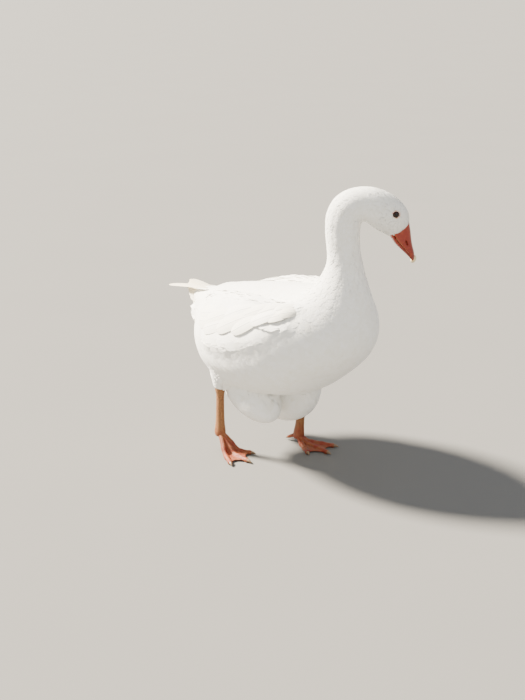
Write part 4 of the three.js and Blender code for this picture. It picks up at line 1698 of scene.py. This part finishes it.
@dataclass
class Tail:
    """The fan of tail feathers, roof-shaped, and the long loose feather that lies over it.

    Attributes:
        skin: what their quills grow from.
        count: feathers of the fan.
        spread: half angle between its outermost feathers.
        raise_up: angle that it points up.
        root: where the middle feathers grow.
        length: of the middle feathers.
        outer: length of the outermost ones over theirs.
        side: half width of the fan at its root.
        roof, far_roof: fall of its right and left edge.
        width: of each feather.
        curl: rise of the tips.
        seed: of the random draws.
        vary_reach: limits of their random change in length.
        lean: tilt of the outermost feathers, in radians.
        order: height of the middle feathers over the outermost.
        tone: how pale the middle ones are in their finish of painted glow, what the outermost add, and
            the random part.
        loose: root and tip of the loose feather.
        loose_bow, loose_half, loose_lean, loose_tone: its rise, half width, tilt and shade.
    """

    skin: Skin
    count: int = 16
    spread: float = math.radians(12.0)
    raise_up: float = math.radians(5.0)
    root: tuple = (-188.0, 0.0, 288.0)
    length: float = 111.0
    outer: float = 0.56
    side: float = 20.0
    roof: float = 24.0
    far_roof: float = 38.0
    width: float = 24.0
    curl: float = 2.0
    seed: int = 47
    vary_reach: tuple = (-0.03, 0.02)
    lean: float = 0.75
    order: float = 1.6
    tone: tuple = (0.1, 0.7, 0.2)
    loose: tuple = ((-214.0, -26.0, 304.0), (-330.5, -36.0, 290.0))
    loose_bow: float = 2.0
    loose_half: float = 6.5
    loose_lean: float = -0.3
    loose_tone: float = 0.35

    def fan_point(self, out: Points, share: Points) -> Points:
        """Points of the fan.

        Args:
            out: place across it, -1 at its right edge and 1 at its left.
            share: share of the length, from the quills to the tips.

        Returns:
            Array of (..., 3).
        """
        reach = share * self.length * (1 - (1 - self.outer) * out ** 2)
        angle = math.pi - out * self.spread
        return np.stack([
            self.root[0] + reach * np.cos(angle),
            self.root[1] + out * self.side + reach * np.sin(angle),
            self.root[2] + reach * math.sin(self.raise_up)
            - np.where(out < 0, self.roof, self.far_roof) * out ** 2
            + self.curl * share ** 4], axis=-1)

    def build(self) -> Piece:
        """Lays the tail feathers, the middle pair uppermost."""
        out = np.linspace(-0.97, 0.97, self.count)[:, None]
        stops = np.array(QUILL_VANE.stops)[None]
        rng = np.random.default_rng(self.seed)
        share = stops * (1.0 + rng.uniform(*self.vary_reach, (self.count, 1)))
        middle = self.fan_point(out, share)
        up = np.array([0.0, 0.0, 1.0])
        way = unit(np.gradient(middle, axis=1))
        tilt = np.stack([0 * out, np.sin(out * self.lean), np.cos(out * self.lean)], axis=-1)
        normal = flattened(np.broadcast_to(tilt, middle.shape), way)
        order = self.order * (1 - np.abs(out))
        middle = middle + up * order[..., None]
        side = np.cross(way, normal)
        _, numbers, shares = self.skin.drop(middle[:, 0])
        spot = self.skin.bake_spot(numbers, shares)
        # The cream of these feathers is painted light, the glow of light through them and their shade;
        # the middle feathers get the most of it.
        low, added, random = self.tone
        tone = low + added * np.abs(out[:, 0]) + rng.uniform(0.0, random, self.count)
        return Feathers(QUILL_VANE, middle, side, normal, np.full(self.count, self.width / 2),
                        spot, tone).build("tail_feathers")

    def stray(self) -> Piece:
        """The long flight feather that has slipped out over the tail."""
        root, tip = np.array(self.loose)
        stops = np.array(QUILL_VANE.stops)
        middle = root + (tip - root) * stops[:, None]
        middle[:, 2] += self.loose_bow * np.sin(math.pi * stops)
        middle = middle[None]
        way = unit(np.gradient(middle, axis=1))
        normal = flattened(np.broadcast_to([0.0, self.loose_lean, 1.0], middle.shape), way)
        _, numbers, shares = self.skin.drop(middle[:, 0])
        spot = self.skin.bake_spot(numbers, shares)
        return Feathers(QUILL_VANE, middle, np.cross(way, normal), normal,
                        np.array([self.loose_half]), spot,
                        np.array([self.loose_tone])).build("loose_flight_feather")


# --- head


@dataclass
class Head:
    """Bill, eyes and lids, on the turned head.

    Attributes:
        upper, lower: stations of the bill, as (top x, top z, low x, low z, half width).
        nostril: x, z, distance from the middle, length, depth and height.
        nail: x, z, half depth, half width, half length and tilt.
        eye: x, z, distance from the middle and radius.
        lid_out: how far the lids lie out from the eye's middle.
        lid_radius, lid_thick: their ring's radius and half thickness.
    """

    upper: tuple = ((262, 496, 235, 474.6, 17), (264.5, 483, 242, 466, 16),
                    (266.5, 469, 250, 457, 14.5), (269, 456, 258.5, 447.5, 13),
                    (272.5, 443.5, 265.5, 438.5, 11.5), (273.8, 432.5, 268.4, 429, 8.4))
    lower: tuple = ((239, 476, 230, 470.4, 15.5), (246, 467.5, 237, 460.5, 14),
                    (254, 458.5, 246, 451.5, 12.5), (262, 449, 255.8, 442.4, 11),
                    (267, 440.5, 263.4, 435, 8.5), (270, 435.5, 266.8, 431, 6))
    nostril: tuple = (259.0, 463.0, 13.4, 9.0, 3.4, 2.2)
    nail: tuple = (271.8, 430.8, 4.9, 6.4, 7.4, 20.0)
    eye: tuple = (235.0, 517.0, 24.0, 6.8)
    lid_out: float = 2.7
    lid_radius: float = 6.7
    lid_thick: float = 1.15

    @staticmethod
    def roof_section() -> Points:
        """Section of the upper bill, as (side, up) shares: an arched roof over sharp edges."""
        down = np.linspace(0, math.pi / 2, 17)
        roof = np.column_stack([np.sin(down) ** 0.85, 1 - 1.9 * (1 - np.cos(down))])
        under = np.linspace(0, math.pi / 2, 9)[1:]
        palate = np.column_stack([0.96 * np.cos(under), -0.94 + 0.3 * np.sin(under)])
        right = np.concatenate([roof, palate])
        left = right[1:-1][::-1] * (-1, 1)
        return np.concatenate([right, left])

    @staticmethod
    def tray_section() -> Points:
        """Section of the lower bill, as (side, up) shares: a shallow tray."""
        angle = np.linspace(0, 2 * math.pi, 48, endpoint=False)
        side, up = np.sin(angle), np.cos(angle)
        return np.column_stack([np.sign(side) * np.abs(side) ** 0.8 * 0.93,
                                np.where(up > 0, up * 0.5, up)])

    def loft(self, stations: tuple, section: Points, count: int = 44,
             bury: float = 0.0) -> Points:
        """Rings of a half of the bill, with one section that follows its stations.

        Args:
            stations: from the forehead to the tip.
            section: (n, 2) as (side, up) shares.
            count: rings along it.
            bury: how far it runs on into the head.

        Returns:
            Array of (rings, n, 3).
        """
        middle, lift, half = side_drawn(np.array(stations, float), count)
        zero = np.zeros(count)
        wide = np.column_stack([zero, -half, zero])
        rings = (middle[:, None]
                 + wide[:, None] * section[None, :, :1] + lift[:, None] * section[None, :, 1:])
        if bury:
            way = unit(rings[0].mean(axis=0) - rings[3].mean(axis=0))
            rings = np.concatenate([rings[:1] + way * bury, rings])
        return turned(rings, HEAD_TURN)

    def build_upper(self) -> Piece:
        """Upper bill with its nostrils cut through."""
        piece = add_loft("bill_upper_horn", self.loft(self.upper, self.roof_section(), bury=7.0))
        x, z, side, length, depth, height = self.nostril
        for way in Side:
            cutter = primitive("cutter", bpy.ops.mesh.primitive_uv_sphere_add,
                               segments=20, ring_count=12, radius=1.0)
            cutter.scale = (height * 0.9 / METRE, depth * 1.3 / METRE, length * 0.6 / METRE)
            put(cutter, (0.0, math.radians(-24.0), HEAD_TURN),
                head_point(x - 1.5, way.value * side, z))
            modified(piece, "BOOLEAN", operation="DIFFERENCE", object=cutter, solver="EXACT")
            bpy.data.objects.remove(cutter)
        pick(piece)
        bpy.ops.object.shade_smooth_by_angle(angle=math.radians(40.0))
        return piece

    def build_lower(self) -> Piece:
        """Lower bill, tucked under the upper."""
        return add_loft("bill_lower_horn", self.loft(self.lower, self.tray_section(), bury=6.0))

    def build_nail(self) -> Piece:
        """The hard nail at the bill's tip: a ball, drawn out and hooked down."""
        x, z, depth, half, length, tilt = self.nail
        piece = primitive("bill_nail_horn", bpy.ops.mesh.primitive_uv_sphere_add,
                          segments=32, ring_count=20, radius=1.0)
        piece.scale = (depth / METRE, half / METRE, length / METRE)
        put(piece, (0.0, math.radians(tilt), HEAD_TURN), head_point(x, 0.0, z))
        bpy.ops.object.shade_smooth()
        return piece

    def build_lamellae(self) -> Piece:
        """The comb of small teeth along both edges of the mouth."""
        table = np.array(self.upper, float)
        low = smooth_path(table[:, 2:4], 60)
        half = smooth_path(np.column_stack([table[:, 4], range(len(table))]), 60)[:, 0]
        points, faces = [], []
        for way in Side:
            for k in range(6, 50, 2):
                x, z = low[k]
                side = way.value * half[k] * 0.80
                tangent = unit(low[k + 1] - low[k - 1])
                out = np.array([tangent[1], -tangent[0]])
                if out[0] > 0:
                    out = -out
                base = np.array([x, side, z])
                along = np.array([tangent[0], 0, tangent[1]]) * 0.55
                down = np.array([out[0], 0, out[1]])
                across = np.array([0, way.value * 0.9, 0])
                first = len(points)
                start = base - down * 2.2
                points += [start - along, start + along, start + along + across * 1.6,
                           start - along + across * 1.6, base + down * 0.9 + across * 0.6]
                faces += [(first, first + 1, first + 2, first + 3)]
                faces += [(first + a, first + 4, first + b) for a, b in
                          ((0, 1), (1, 2), (2, 3), (3, 0))]
        return add_mesh("bill_lamellae", turned(np.array(points), HEAD_TURN), faces)

    def eye_axis(self, side: Side) -> Points:
        """The way an eye looks: sideways and a little forward."""
        return unit(head_way(0.12, side.value * 1.0, 0.05))

    def eye_centre(self, side: Side) -> Points:
        """Middle of an eyeball."""
        x, z, out, _ = self.eye
        return head_point(x, side.value * out, z)

    def build_eye(self, side: Side) -> Piece:
        """An eyeball with the cornea's bulge, drawn out of a sphere.

        Args:
            side: which eye it is.

        Returns:
            The piece.
        """
        radius = self.eye[3]
        piece = primitive(f"eyeball_{side.tag}", bpy.ops.mesh.primitive_uv_sphere_add,
                          segments=40, ring_count=28, radius=radius / METRE)
        for vertex in piece.data.vertices:
            share = max(0.0, vertex.co.z / (radius / METRE) - 0.72) / 0.28
            vertex.co.z += 0.0006 * share ** 1.5
        put(piece, Vector(self.eye_axis(side)).to_track_quat("Z", "Y").to_euler(),
            self.eye_centre(side))
        bpy.ops.object.shade_smooth()
        return piece

    def build_lids(self, side: Side) -> Piece:
        """The bare ring of the lids, pinched to a soft point before and behind.

        Args:
            side: which eye it is round.

        Returns:
            The piece.
        """
        axis = self.eye_axis(side)
        piece = primitive(f"eyelids_{side.tag}", bpy.ops.mesh.primitive_torus_add,
                          major_radius=self.lid_radius / METRE,
                          minor_radius=self.lid_thick / METRE,
                          major_segments=56, minor_segments=14)
        for vertex in piece.data.vertices:
            angle = math.atan2(vertex.co.y, vertex.co.x)
            corner = abs(math.cos(angle)) ** 6
            vertex.co.x *= 1.0 + 0.09 * corner
            vertex.co.y *= 0.97
            vertex.co.z += 0.0003 * math.sin(3 * angle) - 0.0008 * corner
            wrinkle = 1.0 + 0.02 * math.sin(24 * angle)
            vertex.co.x *= wrinkle
            vertex.co.y *= wrinkle
        put(piece, Vector(axis).to_track_quat("Z", "Y").to_euler(),
            self.eye_centre(side) + axis * self.lid_out)
        bpy.ops.object.shade_smooth()
        return piece


# --- legs


@dataclass
class Leg:
    """Shank, webbed foot and claws of one leg.

    Attributes:
        pose: where it stands.
        shank: (share of its height, half width).
        toes: name, length and angle of each.
        knuckles: shares of a toe's length where it swells.
        toe_halves: half width of a toe at its root and tip.
        rest: height of a toe's middle on the floor.
        web_thick: thickness of the webs.
        voxel: size of the cells that blend the parts.
        deep, wide: the shank's half axes over its half width.
        claw_bury, claw_length: how far a claw goes into its toe, and its whole length.
        claw_half, hind_claw_half: half width of the claws at their roots.
    """

    pose: LegPose
    shank: tuple = ((0.0, 9.5), (0.07, 11.2), (0.16, 10.4), (0.28, 9.0), (0.5, 8.2),
                    (0.72, 8.0), (0.86, 9.8), (0.94, 10.8), (1.0, 10.4))
    toes: tuple = (("inner", 68.0, 27.0), ("middle", 86.0, 0.0), ("outer", 79.0, -25.0))
    knuckles: tuple = (0.0, 0.36, 0.66, 0.96)
    toe_halves: tuple = (5.6, 4.0)
    rest: float = 4.2
    web_thick: float = 2.3
    voxel: float = 0.95
    deep: float = 1.12
    wide: float = 0.94
    claw_bury: float = 2.5
    claw_length: float = 12.3
    claw_half: float = 3.3
    hind_claw_half: float = 2.4

    def toe_point(self, angle: float, distance: Points) -> Points:
        """Middle of a toe at a distance from the ankle."""
        fall = 1 - smoothstep(distance, 0.0, self.pose.slope)
        z = self.rest + (self.pose.ankle - self.rest) * fall
        return np.stack([self.pose.foot[0] + distance * math.cos(angle),
                         self.pose.foot[1] + self.pose.inward * distance * math.sin(angle), z],
                        axis=-1)

    def toe_rings(self, length: float, angle: float) -> Points:
        """A toe as a tube that swells at its knuckles.

        Args:
            length: of the toe.
            angle: the way it points.

        Returns:
            Rings of points.
        """
        share = np.linspace(0.0, 1.0, 44)
        path = self.toe_point(angle, share * length)
        half = np.interp(share, (0, 1), self.toe_halves)
        for knuckle in self.knuckles:
            half = half + 0.9 * np.exp(-((share - knuckle) / 0.055) ** 2)
        half *= np.where(share > 0.97, 0.9, 1.0)
        return tube_rings(path, half, 18, 1.02)

    def web(self) -> tuple[Points, list]:
        """The two webs as one thin closed sheet with faint folds."""
        columns = []
        for (_, l0, a0), (_, l1, a1) in zip(self.toes[:-1], self.toes[1:]):
            for share in np.linspace(0, 1, 15):
                reach = (l0 + (l1 - l0) * share) * 0.965
                reach *= 1 - 0.15 * math.sin(math.pi * share)
                sag = 1.0 * math.sin(math.pi * share) + 0.35 * math.sin(6 * math.pi * share)
                columns.append((math.radians(a0 + (a1 - a0) * share), reach, sag))
        rows = np.linspace(0.12, 1.0, 26)
        top = np.stack([self.toe_point(angle, rows * reach)
                        - np.outer(rows ** 2 * min(sag, 1.0), (0, 0, 1))
                        for angle, reach, sag in columns], axis=1)
        half = np.array([0, 0, self.web_thick / 2])
        n, m = top.shape[:2]
        points = np.concatenate([(top + half).reshape(-1, 3), (top - half).reshape(-1, 3)])
        faces = []
        for r in range(n - 1):
            for c in range(m - 1):
                a, b = r * m + c, r * m + c + 1
                faces.append((a, b, b + m, a + m))
                faces.append((a + n * m, a + m + n * m, b + m + n * m, b + n * m))
        rim = ([(r, 0) for r in range(n)] + [(n - 1, c) for c in range(1, m)]
               + [(r, m - 1) for r in range(n - 2, -1, -1)] + [(0, c) for c in range(m - 2, 0, -1)])
        index = [r * m + c for r, c in rim]
        for a, b in zip(index, index[1:] + index[:1]):
            faces.append((a, a + n * m, b + n * m, b))
        return points, faces

    def hallux_path(self, share: Points) -> Points:
        """Middle of the small hind toe."""
        pose = self.pose
        start = np.array([pose.foot[0] - 4, pose.foot[1] + pose.inward * 4, pose.ankle + 3])
        way = np.array([-17.0, pose.inward * 5.0, -9.0])
        return start + np.asarray(share)[:, None] * way

    def build_flesh(self) -> Piece:
        """Shank, toes, webs and hind toe blended to one skin."""
        share = np.linspace(0, 1, 60)
        stops, halves = zip(*self.shank)
        half = smooth_path(np.column_stack([stops, halves]), 60)
        radius = np.interp(share, half[:, 0], half[:, 1])
        zero = np.zeros(60)
        shank = oval_rings(self.pose.shank_point(share),
                           np.column_stack([radius * self.deep, zero, zero]),
                           np.column_stack([zero, radius * self.wide, zero]), 32)
        parts = [add_rings("part", shank)]
        for _, length, angle in self.toes:
            parts.append(add_rings("part", self.toe_rings(length, math.radians(angle))))
        parts.append(add_mesh("part", *self.web()))
        hind = tube_rings(self.hallux_path(np.linspace(-0.1, 1, 16)),
                          np.linspace(4.2, 3.1, 16), 16)
        parts.append(add_rings("part", hind))
        name = f"leg_skin_{self.pose.side.tag}"
        piece = joined(name, *parts)
        modified(piece, "REMESH", mode="VOXEL", voxel_size=self.voxel / METRE,
                 use_smooth_shade=True)
        modified(piece, "SMOOTH", factor=0.5, iterations=3)
        for vertex in piece.data.vertices:
            vertex.co.z = max(vertex.co.z, 0.0)
        return piece

    def build_claws(self) -> Piece:
        """Four short curved claws as one piece."""
        parts = []
        share = np.linspace(0, 1, 12)
        for _, length, angle in self.toes:
            angle = math.radians(angle)
            path = self.toe_point(angle, length - self.claw_bury + share * self.claw_length)
            path[:, 2] += 0.8 * np.sin(share * math.pi) - 1.7 * share ** 2
            half = self.claw_half * (1 - share ** 1.6) + 0.35
            parts.append(add_loft("part", tube_rings(path, half, 14)))
        path = self.hallux_path(1 - 0.1 + share * 0.42)
        half = self.hind_claw_half * (1 - share ** 1.6) + 0.35
        parts.append(add_loft("part", tube_rings(path, half, 14)))
        return joined(f"claw_horn_{self.pose.side.tag}", *parts)


# --- studio


@dataclass
class Studio:
    """Floor, light and camera.

    Attributes:
        camera_at: place of the camera, in millimetres of the solids' frame.
        camera_right, camera_up: its axes.
        focal_px: focal length in pixels.
        frame_px: long side of the frame in pixels.
        sensor: long side of the sensor.
    """

    camera_at: tuple = (1600.67, -1450.03, 940.40)
    camera_right: tuple = (0.664716, 0.747096, 0.0)
    camera_up: tuple = (-0.240193, 0.213708, 0.946909)
    focal_px: float = 1150.0
    frame_px: float = 700.0
    sensor: float = 36.0

    def build(self) -> None:
        """Sets up all of it."""
        self.floor()
        self.camera()
        # The key comes from high over the goose's right rear, so that back, wing and tail
        # are lit and the breast is in soft shade.
        self.lamp("key", (-0.76, -0.34, 0.73), 10.0, 34.0, "fff4e2")
        self.lamp("fill", (0.75, -0.55, 0.45), 60.0, 0.9, "f6f4ee")
        world = bpy.data.worlds.new("studio")
        world.use_nodes = True
        world.node_tree.nodes["Background"].inputs["Color"].default_value = linear("e6e9ee")
        world.node_tree.nodes["Background"].inputs["Strength"].default_value = 1.0
        bpy.context.scene.world = world

    def floor(self) -> None:
        """A wide plain floor."""
        floor = primitive("studio_floor", bpy.ops.mesh.primitive_plane_add, size=60.0)
        floor.data.materials.append(FloorFinish().make())

    def lamp(self, name: str, way: tuple, spread: float, power: float, tint: str) -> None:
        """A far soft lamp.

        Args:
            name: the lamp's name.
            way: the direction that it stands in.
            spread: degrees across, seen from the goose.
            power: its strength.
            tint: its colour.
        """
        data = bpy.data.lights.new(name, "SUN")
        data.angle = math.radians(spread)
        data.energy = power
        data.color = linear(tint)[:3]
        lamp = bpy.data.objects.new(name, data)
        lamp.rotation_euler = Vector(way).to_track_quat("Z", "Y").to_euler()
        bpy.context.scene.collection.objects.link(lamp)

    def camera(self) -> None:
        """The camera, with the frame's long side as its sensor."""
        data = bpy.data.cameras.new("camera")
        data.sensor_width = self.sensor
        data.lens = self.focal_px * self.sensor / self.frame_px
        data.clip_end = 100.0
        camera = bpy.data.objects.new("camera", data)
        right, up = np.array(self.camera_right), np.array(self.camera_up)
        back = np.cross(right, up)
        matrix = np.eye(4)
        matrix[:3, 0], matrix[:3, 1], matrix[:3, 2] = right, up, back
        matrix[:3, 3] = np.array(self.camera_at) / METRE
        camera.matrix_world = Matrix(matrix.tolist())
        bpy.context.scene.collection.objects.link(camera)
        bpy.context.scene.camera = camera


# --- goose


@dataclass
class Goose:
    """The whole bird, dressed piece by piece, with its three kinds of plumage."""

    white: PlumageFinish = PlumageFinish("white_contour_feather", "fbfaf5", "efece0")
    quill: PlumageFinish = PlumageFinish("white_flight_feather", "faf8f0", "e6dfcb",
                                         barb_mm=2.2, shaft=True)
    # The tail's cream is painted light: the warm glow of light through the thin tail feathers, and
    # their shade.
    cream: PlumageFinish = PlumageFinish("tail_feather_painted_glow", "f6f1e2", "dccfb0",
                                         barb_mm=2.0, shaft=True)

    def build(self) -> None:
        """Builds and dresses every piece."""
        skin = Skin([BodyForm().build(), *(WingForm(side).build() for side in Side),
                     *(LobeForm(side).build() for side in Side), CovertForm().build(),
                     *(pose.thigh_form() for pose in LEGS)])
        flesh = skin.build()
        sides = [side.tag for side in Side]
        self.dress(flesh, SkinFinish().make(), "plumage", "rump", "trunk", "breast",
                   "neck_lower", "neck_middle", "neck_upper", "head", "tail_coverts",
                   *(f"{part}_{side}" for part in ("paunch", "wing", "thigh") for side in sides))
        white, quill = self.white.make(), self.quill.make()
        head = Head()
        bare = tuple((head.eye_centre(side) + head.eye_axis(side) * head.lid_out,
                      head.lid_radius + head.lid_thick + 0.5) for side in Side)
        for coat in self.coats(bare):
            self.dress(coat.build(skin), white, "plumage")
        for side in Side:
            self.dress(Wing(side, skin).build(), quill, "plumage")
        tail = Tail(skin)
        cream = self.cream.make()
        self.dress(tail.build(), cream, "tail_plumage", "tail")
        self.dress(tail.stray(), cream, "tail_plumage", "flight_feather")
        self.dress_head(head)
        self.dress_legs()

    @staticmethod
    def coats(bare: tuple) -> list[Coat]:
        """The coats of small feathers, by length.

        Args:
            bare: places round the eyes that the face's feathers leave free.

        Returns:
            The coats.
        """
        body = (Zone.BODY,)
        tips = tuple((np.array(WING_TIP) * (1, side.value, 1), 34.0) for side in Side)
        return [
            Coat("face_feathers", SMALL_VANE, body, 0.34, 0.62, 11, 0.0, 8.0, bare=bare),
            Coat("nape_feathers", SMALL_VANE, body, 0.25, 0.58, 12, 8.0, 12.2, bare=bare),
            Coat("neck_feathers", SMALL_VANE, body, 0.2, 0.5, 13, 12.2, 18.0),
            Coat("breast_feathers", BODY_VANE, body, 0.19, 0.52, 14, 18.0, 27.0,
                 bare=tips),
            Coat("body_feathers", BODY_VANE, body, 0.18, 0.52, 15, 27.0, bare=tips),
            Coat("wing_down", BODY_VANE, (Zone.WING,), 0.2, 0.5, 16, lift=0.62,
                 bare=tips),
            Coat("paunch_feathers", DOWN_VANE, (Zone.LOBE,), 0.18, 0.52, 17, loose=0.12),
            Coat("thigh_feathers", DOWN_VANE, (Zone.THIGH,), 0.22, 0.5, 18, loose=0.12),
            Coat("covert_feathers", BODY_VANE, (Zone.COVERT,), 0.18, 0.5, 19, loose=0.08,
                 bare=tips),
        ]

    @staticmethod
    def dress(piece: Piece, material: bpy.types.Material, slot: str, *nodes: str) -> None:
        """Gives a piece its finish and body, and hides the solids that it stands for.

        Args:
            piece: the piece.
            material: its finish.
            slot: not used.
            nodes: the solids that it replaces.
        """
        piece.data.materials.clear()
        piece.data.materials.append(material)
        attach(piece, "root")
        if nodes:
            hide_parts(*nodes)
        LOG.info("%s: %d faces", piece.name, len(piece.data.polygons))

    def dress_head(self, head: Head) -> None:
        """Bill, eyes and lids.

        Args:
            head: what builds them.
        """
        start = tuple(to_frame(head_point(250, 0, 486)))
        way = tuple(unit(head_way(22, 0, -56)))
        horn = HornFinish("bill_horn_orange", "821c00", "760f02", "b0480f", start, way, 58.0)
        bill = horn.make()
        self.dress(head.build_upper(), bill, "bill", "bill_upper")
        self.dress(head.build_lower(), bill, "bill", "bill_lower")
        comb = HornFinish("bill_comb_horn", "e0865a", "e8a070", "f0b890", start, way, 58.0)
        self.dress(head.build_lamellae(), comb.make(), "bill")
        nail = HornFinish("bill_nail_ivory", "ecdcb0", "dcc898", "f4ead0", start, way, 70.0)
        self.dress(head.build_nail(), nail.make(), "bill_nail", "bill_nail")
        lids = LidFinish().make()
        for side in Side:
            centre = tuple(to_frame(head.eye_centre(side)))
            finish = EyeFinish(centre, tuple(head.eye_axis(side)), f"wet_eye_{side.tag}")
            self.dress(head.build_eye(side), finish.make(), "eye", f"eye_{side.tag}")
            self.dress(head.build_lids(side), lids, "plumage")

    def dress_legs(self) -> None:
        """Legs, feet and claws."""
        # 6b3f20 is the painted shade in the furrows of the leg scales.
        # 7a1e03 is the painted glow of light through the thin webs in shade.
        scales = ScaleFinish("leg_scale_skin", "97683a", "6b3f20", "7a1e03").make()
        claw = HornFinish("claw_horn", "6a5238", "3c2e22", "8a7050", (0, 0, 0), (0, 0, 1),
                          300.0).make()
        for pose in LEGS:
            leg = Leg(pose)
            side = pose.side.tag
            self.dress(leg.build_flesh(), scales, "web_skin", f"shank_{side}", f"foot_{side}")
            self.dress(leg.build_claws(), claw, "claw",
                       *(f"claw_{side}_{toe}" for toe in ("inner", "middle", "outer", "hallux")))


def main() -> None:
    """Builds the studio and the goose."""
    logging.basicConfig(level=logging.INFO, format="%(message)s")
    Studio().build()
    Goose().build()


if __name__ == "__main__":
    main()
